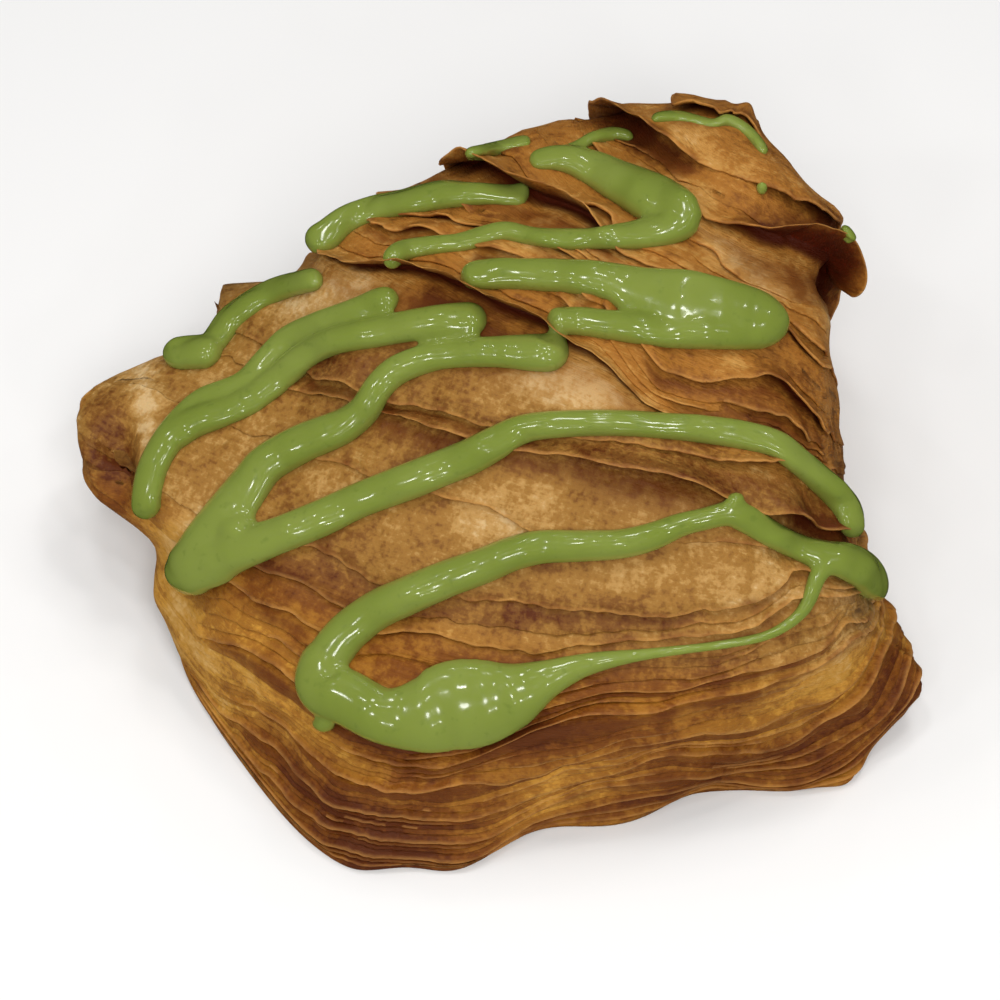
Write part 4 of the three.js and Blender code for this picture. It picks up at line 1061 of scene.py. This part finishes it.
def strand_mesh(marks, tree, seed):
    """Vertices and faces of one strand, closed at both ends."""
    line = strand_line(marks)
    reach, rays, distance = strand_hits(line, tree)
    bare = filled(distance)
    distance = smoothed_rows(bridged(bare), LAID_ALONG)
    distance = smoothed_rows(distance.T, LAID_ACROSS).T
    sunk = EMBED + np.clip(bare - distance, 0, SUNK_MOST)
    foot = EYE + rays * distance[..., None]
    normal = np.cross(np.gradient(foot, axis=0), np.gradient(foot, axis=1))
    normal *= -np.sign((normal * rays).sum(-1, keepdims=True))
    normal /= np.linalg.norm(normal, axis=-1, keepdims=True) + 1e-9
    normal = smoothed_rows(normal, 6) - TO_CAMERA * LOOK
    normal /= np.linalg.norm(normal, axis=-1, keepdims=True)
    width = line[:, 2]
    spine = foot[:, ACROSS_POINTS // 2]
    run = np.concatenate([[0], np.cumsum(np.linalg.norm(np.diff(spine, axis=0), axis=1))])
    lumpy = 1
    for height, wavelength, step in LUMPS:
        lumpy = lumpy + height * ripple(spine, wavelength, seed + step)
    from_end = np.minimum(run, run[-1] - run)
    rounding = np.sqrt(np.clip(1 - (1 - np.clip(from_end / (width / 2), 0.02, 1))**2, 0, 1))
    rise = np.minimum(STRAND_RISE * width, STRAND_RISE_MOST) * lumpy
    dome = np.sqrt(np.clip(1 - reach**2, 0, 1))
    centre = spine[:, None]
    drawn = centre + (foot - centre) * rounding[:, None, None]
    top = drawn + normal * (rise[:, None] * rounding[:, None] * dome[None, :])[..., None]
    bottom = drawn - normal * (sunk * (0.15 + 0.85 * dome[None, :]) * rounding[:, None])[..., None]
    return closed_grid(np.concatenate([top, bottom[:, -2:0:-1]], axis=1))


def tree_of(pieces):
    """A search tree of the pastry's faces, in metres, for rays."""
    vertices, faces = [], []
    for made in pieces:
        faces += [tuple(i + len(vertices) for i in face.vertices) for face in made.data.polygons]
        vertices += [vertex.co.copy() for vertex in made.data.vertices]
    return BVHTree.FromPolygons(vertices, faces)


def make_drizzle(pieces):
    """All strands, fused by remeshing and smoothed until they flow into each other."""
    tree = tree_of(pieces)
    vertices, faces = [], []
    for number, marks in enumerate(STRANDS):
        points, sides = strand_mesh(marks, tree, SEEDS_FROM + number)
        shift = sum(len(v) for v in vertices)
        vertices.append(points)
        faces += [tuple(i + shift for i in side) for side in sides]
    made = mesh_object("drizzle", np.vstack(vertices), faces)
    modified(made, "REMESH", mode="VOXEL", voxel_size=STRAND_VOXEL * MM, adaptivity=0)
    modified(made, "SMOOTH", factor=0.5, iterations=STRAND_SMOOTHED)
    thinned(made, DRIZZLE_TRIANGLES)
    shade_smooth(made)
    return made


# ------------------------------------------------------------------ materials

def linear(red, green, blue):
    """A colour given in the usual 0 to 255 steps, for a shader socket."""
    def one(value):
        value /= 255
        return value / 12.92 if value <= 0.04045 else ((value + 0.055) / 1.055)**2.4
    return (one(red), one(green), one(blue), 1.0)


# Colours of the crust on the bands, in the stack and on the belly. The belly is a duller tan, and the
# stack a fuller gold than the bands.
HONEY = (163, 107, 41), (160, 105, 34), (153, 109, 48)
RUSSET = (124, 74, 26), (124, 70, 19), (122, 78, 31)
TAN = (188, 137, 68), (196, 141, 53), (181, 139, 78)
PALEST = (208, 166, 106), (214, 168, 98), (206, 172, 120)
# And its colours anywhere: strongly baked, a painted highlight on free edges, toasted edges, and painted
# shade in hollows and gaps.
DARKEST, RIM_PAINTED_HIGHLIGHT, RIM_TOASTED = (88, 41, 14), (198, 142, 74), (104, 50, 16)
HOLLOW_PAINTED_SHADE, GAP_PAINTED_SHADE = (104, 54, 16), (72, 24, 7)
CREAM_DEEP, CREAM_LIGHT, CREAM_GRAINS = (119, 134, 55), (129, 143, 65), (98, 116, 44)


class Shader:
    """A small helper that adds nodes to a material and links them."""

    def __init__(self, name):
        self.material = bpy.data.materials.new(name)
        self.material.use_nodes = True
        self.tree = self.material.node_tree
        self.surface = self.tree.nodes["Principled BSDF"]

    def node(self, kind, inputs=None, **settings):
        made = self.tree.nodes.new(kind)
        for key, value in settings.items():
            setattr(made, key, value)
        for key, value in (inputs or {}).items():
            self.feed(made.inputs[key], value)
        return made

    def place(self):
        return self.node("ShaderNodeTexCoord").outputs["Object"]

    def feed(self, socket, value):
        if isinstance(value, bpy.types.NodeSocket):
            self.tree.links.new(value, socket)
        else:
            socket.default_value = value

    def dress(self, inputs):
        for key, value in inputs.items():
            self.feed(self.surface.inputs[key], value)

    def attribute(self, name):
        return self.node("ShaderNodeAttribute", attribute_name=name).outputs["Fac"]

    def math(self, operation, a, b=0.0):
        return self.node("ShaderNodeMath", {0: a, 1: b}, operation=operation).outputs[0]

    def times(self, a, b):
        return self.math("MULTIPLY", a, b)

    def eased(self, share, at_none, at_full):
        return self.between(share, 0.0, 1.0, at_none, at_full)

    def between(self, value, low, high, to_low=0.0, to_high=1.0):
        """The value's place between low and high, eased, as a number from to_low to to_high."""
        inputs = {"Value": value, "From Min": low, "From Max": high, "To Min": to_low, "To Max": to_high}
        return self.node("ShaderNodeMapRange", inputs, interpolation_type="SMOOTHSTEP").outputs["Result"]

    def noise(self, vector, scale, detail=3.0, rough=0.55, warp=0.0):
        inputs = {"Vector": vector, "Scale": scale, "Detail": detail, "Roughness": rough, "Distortion": warp}
        return self.node("ShaderNodeTexNoise", inputs).outputs["Fac"]

    def mix(self, share, a, b):
        made = self.node("ShaderNodeMix", data_type="RGBA")
        self.feed(made.inputs["Factor"], share)
        self.feed(made.inputs[6], a)
        self.feed(made.inputs[7], b)
        return made.outputs[2]


def crust_material():
    """Baked leaf pastry: honey gold, mottled with brown and cream, with painted shade where the leaves open
    and a painted highlight on their free edges.
    """
    s = Shader("crust")
    place = s.place()
    # tuck is painted shade in the gaps under the sheets, and the patches are baked colour and painted shade
    tuck, rim, baked_and_painted_shade = s.attribute("tuck"), s.attribute("rim"), s.attribute("baked_and_painted_shade")
    along, sheet = s.attribute("along"), s.attribute("sheet")
    # coordinates that run with the leaves, for streaks along them
    grain = s.node("ShaderNodeCombineXYZ", {
        "X": s.times(s.attribute("round_x"), 2.2),
        "Y": s.times(s.attribute("round_y"), 2.2),
        "Z": s.times(along, 60.0),
    }).outputs[0]
    streaks = s.noise(grain, 2.4, 4.0, 0.6)
    hairs = s.noise(grain, 9.0, 3.0, 0.6)
    each_leaf = s.node("ShaderNodeTexWhiteNoise", {"W": s.math("ROUND", sheet)}, noise_dimensions="1D")
    cloud = s.noise(place, 42.0, 3.0, 0.55, 0.4)
    blotch = s.noise(place, 200.0, 3.0, 0.6, 0.3)
    blister = s.noise(place, 520.0, 2.0, 0.6, 0.2)
    mottle = s.noise(place, 1150.0, 2.0, 0.65)

    in_stack = s.between(along, 0.68, 0.75)
    on_belly = s.math("SUBTRACT", s.between(along, 0.40, 0.48), in_stack)
    # how strongly baked, with the painted shade of the patches: clouds, blisters, streaks, patches and each
    # leaf's own share
    parts = [
        (cloud, 2.2), (blotch, 2.2), (streaks, s.eased(in_stack, 1.0, 0.7)),
        (hairs, s.eased(in_stack, 0.8, 0.4)), (blister, s.eased(on_belly, 1.2, 1.6)),
        (mottle, s.eased(on_belly, 1.6, 2.4)),
        (each_leaf.outputs["Value"], s.eased(in_stack, 0.4, 1.1)),
    ]
    bake_and_shade = s.times(baked_and_painted_shade, -1.5)
    for value, weight in parts:
        bake_and_shade = s.math("ADD", bake_and_shade, s.times(s.math("SUBTRACT", value, 0.5), weight))

    def by_place(bands, stack, belly):
        return s.mix(on_belly, s.mix(in_stack, linear(*bands), linear(*stack)), linear(*belly))

    honey, russet, tan, palest = (by_place(*colours) for colours in (HONEY, RUSSET, TAN, PALEST))
    colour = s.mix(s.between(bake_and_shade, 0.0, 0.9), honey, russet)
    colour = s.mix(s.between(bake_and_shade, 0.8, 1.8), colour, linear(*DARKEST))
    colour = s.mix(s.between(bake_and_shade, 0.0, -0.8), colour, tan)
    colour = s.mix(s.between(bake_and_shade, -0.7, -1.7), colour, palest)
    # free edges get a painted highlight, or are toasted here and there, and the gaps under the sheets get
    # painted shade
    colour = s.mix(s.between(rim, 0.7, 0.0, 0.0, 0.55), colour, linear(*RIM_PAINTED_HIGHLIGHT))
    toasted = s.times(s.between(rim, 1.3, 0.0), s.between(blotch, 0.46, 0.66, 0.0, 0.6))
    colour = s.mix(toasted, colour, linear(*RIM_TOASTED))
    # painted shade in the hollows, browner in spots and weaker where the patches are pale
    spotted = s.times(s.between(blotch, 0.3, 0.7, 0.6, 1.0), s.between(baked_and_painted_shade, 0.2, 1.4, 0.9, 0.4))
    shade = s.times(s.between(s.attribute("shade"), 0.0, 1.0), spotted)
    colour = s.mix(shade, colour, linear(*HOLLOW_PAINTED_SHADE))
    colour = s.mix(s.between(tuck, 0.15, 0.8), colour, linear(*GAP_PAINTED_SHADE))

    bump = s.node("ShaderNodeBump", {
        "Height": s.math("ADD", s.times(blister, 0.6), s.times(mottle, 0.4)),
        "Strength": s.eased(on_belly, 0.35, 0.8), "Distance": 0.0006,
    })
    fine = s.node("ShaderNodeBump", {
        "Height": s.math("ADD", streaks, s.times(hairs, 0.7)), "Normal": bump.outputs[0],
        "Strength": s.eased(on_belly, 0.55, 0.18), "Distance": 0.0006,
    })
    s.dress({
        "Base Color": colour, "Roughness": s.between(bake_and_shade, -1.0, 1.2, 0.62, 0.46),
        "Normal": fine.outputs[0], "Subsurface Weight": 0.08, "Subsurface Radius": (0.9, 0.45, 0.2),
        "Subsurface Scale": 0.0012, "Specular IOR Level": 0.25,
    })
    return s.material


def drizzle_material():
    """Pistachio cream: green, glossy and finely speckled, with light that spreads under its surface."""
    s = Shader("drizzle")
    place = s.place()
    cloud = s.noise(place, 60.0, 2.0, 0.5)
    grain = s.noise(place, 700.0, 2.0, 0.5)
    ripples = s.noise(place, 260.0, 2.0, 0.45, 0.3)
    colour = s.mix(s.between(cloud, 0.35, 0.65), linear(*CREAM_DEEP), linear(*CREAM_LIGHT))
    colour = s.mix(s.between(grain, 0.60, 0.76, 0.0, 0.4), colour, linear(*CREAM_GRAINS))
    bump = s.node("ShaderNodeBump", {"Height": ripples, "Strength": 0.12, "Distance": 0.0006})
    s.dress({
        "Base Color": colour, "Roughness": s.between(grain, 0.3, 0.7, 0.13, 0.22),
        "Normal": bump.outputs[0], "Subsurface Weight": 0.35, "Subsurface Radius": (0.8, 1.0, 0.35),
        "Subsurface Scale": 0.0015, "Coat Weight": 0.5, "Coat Roughness": 0.06,
    })
    return s.material


def floor_material():
    s = Shader("floor")
    place = s.place()
    tone = s.mix(s.noise(place, 3.0), (0.86, 0.86, 0.86, 1), (0.88, 0.88, 0.88, 1))
    s.dress({"Base Color": tone, "Roughness": 0.9})
    return s.material


# ------------------------------------------------------------------ stage

def aimed(kind, name, place, target):
    """A light or camera object that looks from one point at another, in metres."""
    made = bpy.data.objects.new(name, kind)
    made.location = place
    made.rotation_euler = (Vector(target) - Vector(place)).to_track_quat("-Z", "Y").to_euler()
    bpy.context.scene.collection.objects.link(made)
    return made


def add_camera():
    lens = bpy.data.cameras.new("camera")
    lens.lens, lens.sensor_width = LENS, SENSOR
    lens.clip_start, lens.clip_end = 0.01, 20
    bpy.context.scene.camera = aimed(lens, "camera", Vector(to_part(EYE)), Vector(to_part(AIM)))


def add_area(name, place, size, watts, colour=(1, 1, 1), mirrored=False):
    """A round lamp that shines on the pastry. Only mirrored ones show as points on the cream."""
    light = bpy.data.lights.new(name, "AREA")
    light.shape, light.size, light.energy, light.color = "DISK", size, watts, colour
    made = aimed(light, name, place, (0, 0, 0.02))
    made.visible_glossy = mirrored


# Lamps that show as points on the cream: place in metres, width and watts.
LAMPS = [
    (-0.1, 0.04, 0.62, 0.09, 0.32), (0.12, 0.1, 0.62, 0.07, 0.24), (0.24, -0.2, 0.6, 0.07, 0.24),
    (0, -0.52, 0.46, 0.08, 0.28), (0.4, -0.46, 0.42, 0.06, 0.2), (-0.3, -0.4, 0.48, 0.06, 0.2),
    (-0.34, 0.16, 0.58, 0.03, 0.08), (0.02, 0.3, 0.62, 0.03, 0.08), (0.06, -0.16, 0.64, 0.03, 0.08),
    (0.4, 0.06, 0.56, 0.03, 0.08), (-0.08, 0.5, 0.56, 0.03, 0.08), (-0.36, -0.12, 0.56, 0.03, 0.08),
    (0.16, -0.62, 0.34, 0.03, 0.08), (0.3, 0.36, 0.5, 0.03, 0.08), (-0.14, -0.3, 0.6, 0.03, 0.08),
]


SKY_STRENGTH = 0.26


def add_lights():
    add_area("front", (0.20, -0.44, 0.56), 0.30, 2.3, (1.0, 0.98, 0.95))
    add_area("top", (0.10, 0.22, 0.70), 0.30, 0.9, (1.0, 0.98, 0.95))
    add_area("side", (-0.46, -0.16, 0.50), 0.30, 0.4)
    for number, (x, y, z, width, watts) in enumerate(LAMPS):
        add_area(f"lamp_{number}", (x, y, z), width, watts, mirrored=True)
    world = bpy.data.worlds.new("world")
    bpy.context.scene.world = world
    world.use_nodes = True
    sky = world.node_tree.nodes["Background"].inputs
    sky["Color"].default_value = (1, 1, 1, 1)
    sky["Strength"].default_value = SKY_STRENGTH
    world.cycles_visibility.glossy = False


FLOOR_HALF = 1.6  # metres from the floor's middle to its sides
FLOOR_UNDER = 0.0002  # and how far it lies under the part


def add_floor():
    corners = [(-1, -1), (1, -1), (1, 1), (-1, 1)]
    mesh = bpy.data.meshes.new("floor")
    corners = [(x * FLOOR_HALF, y * FLOOR_HALF, -FLOOR_UNDER) for x, y in corners]
    mesh.from_pydata(corners, [], [(0, 1, 2, 3)])
    floor = bpy.data.objects.new("floor", mesh)
    bpy.context.scene.collection.objects.link(floor)
    mesh.materials.append(floor_material())
    floor.visible_glossy = False


# ------------------------------------------------------------------ the scene

def main():
    pastry = make_pastry()
    drizzle = make_drizzle(pastry)
    crust = crust_material()
    for piece in pastry:
        piece.data.materials.append(crust)
    drizzle.data.materials.append(drizzle_material())
    for piece in pastry + [drizzle]:
        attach(piece, "root")
        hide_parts("sfogliatella")
    add_camera()
    add_lights()
    add_floor()
    scene = bpy.context.scene
    scene.view_settings.view_transform = "Standard"
    scene.cycles.use_denoising = True


main()
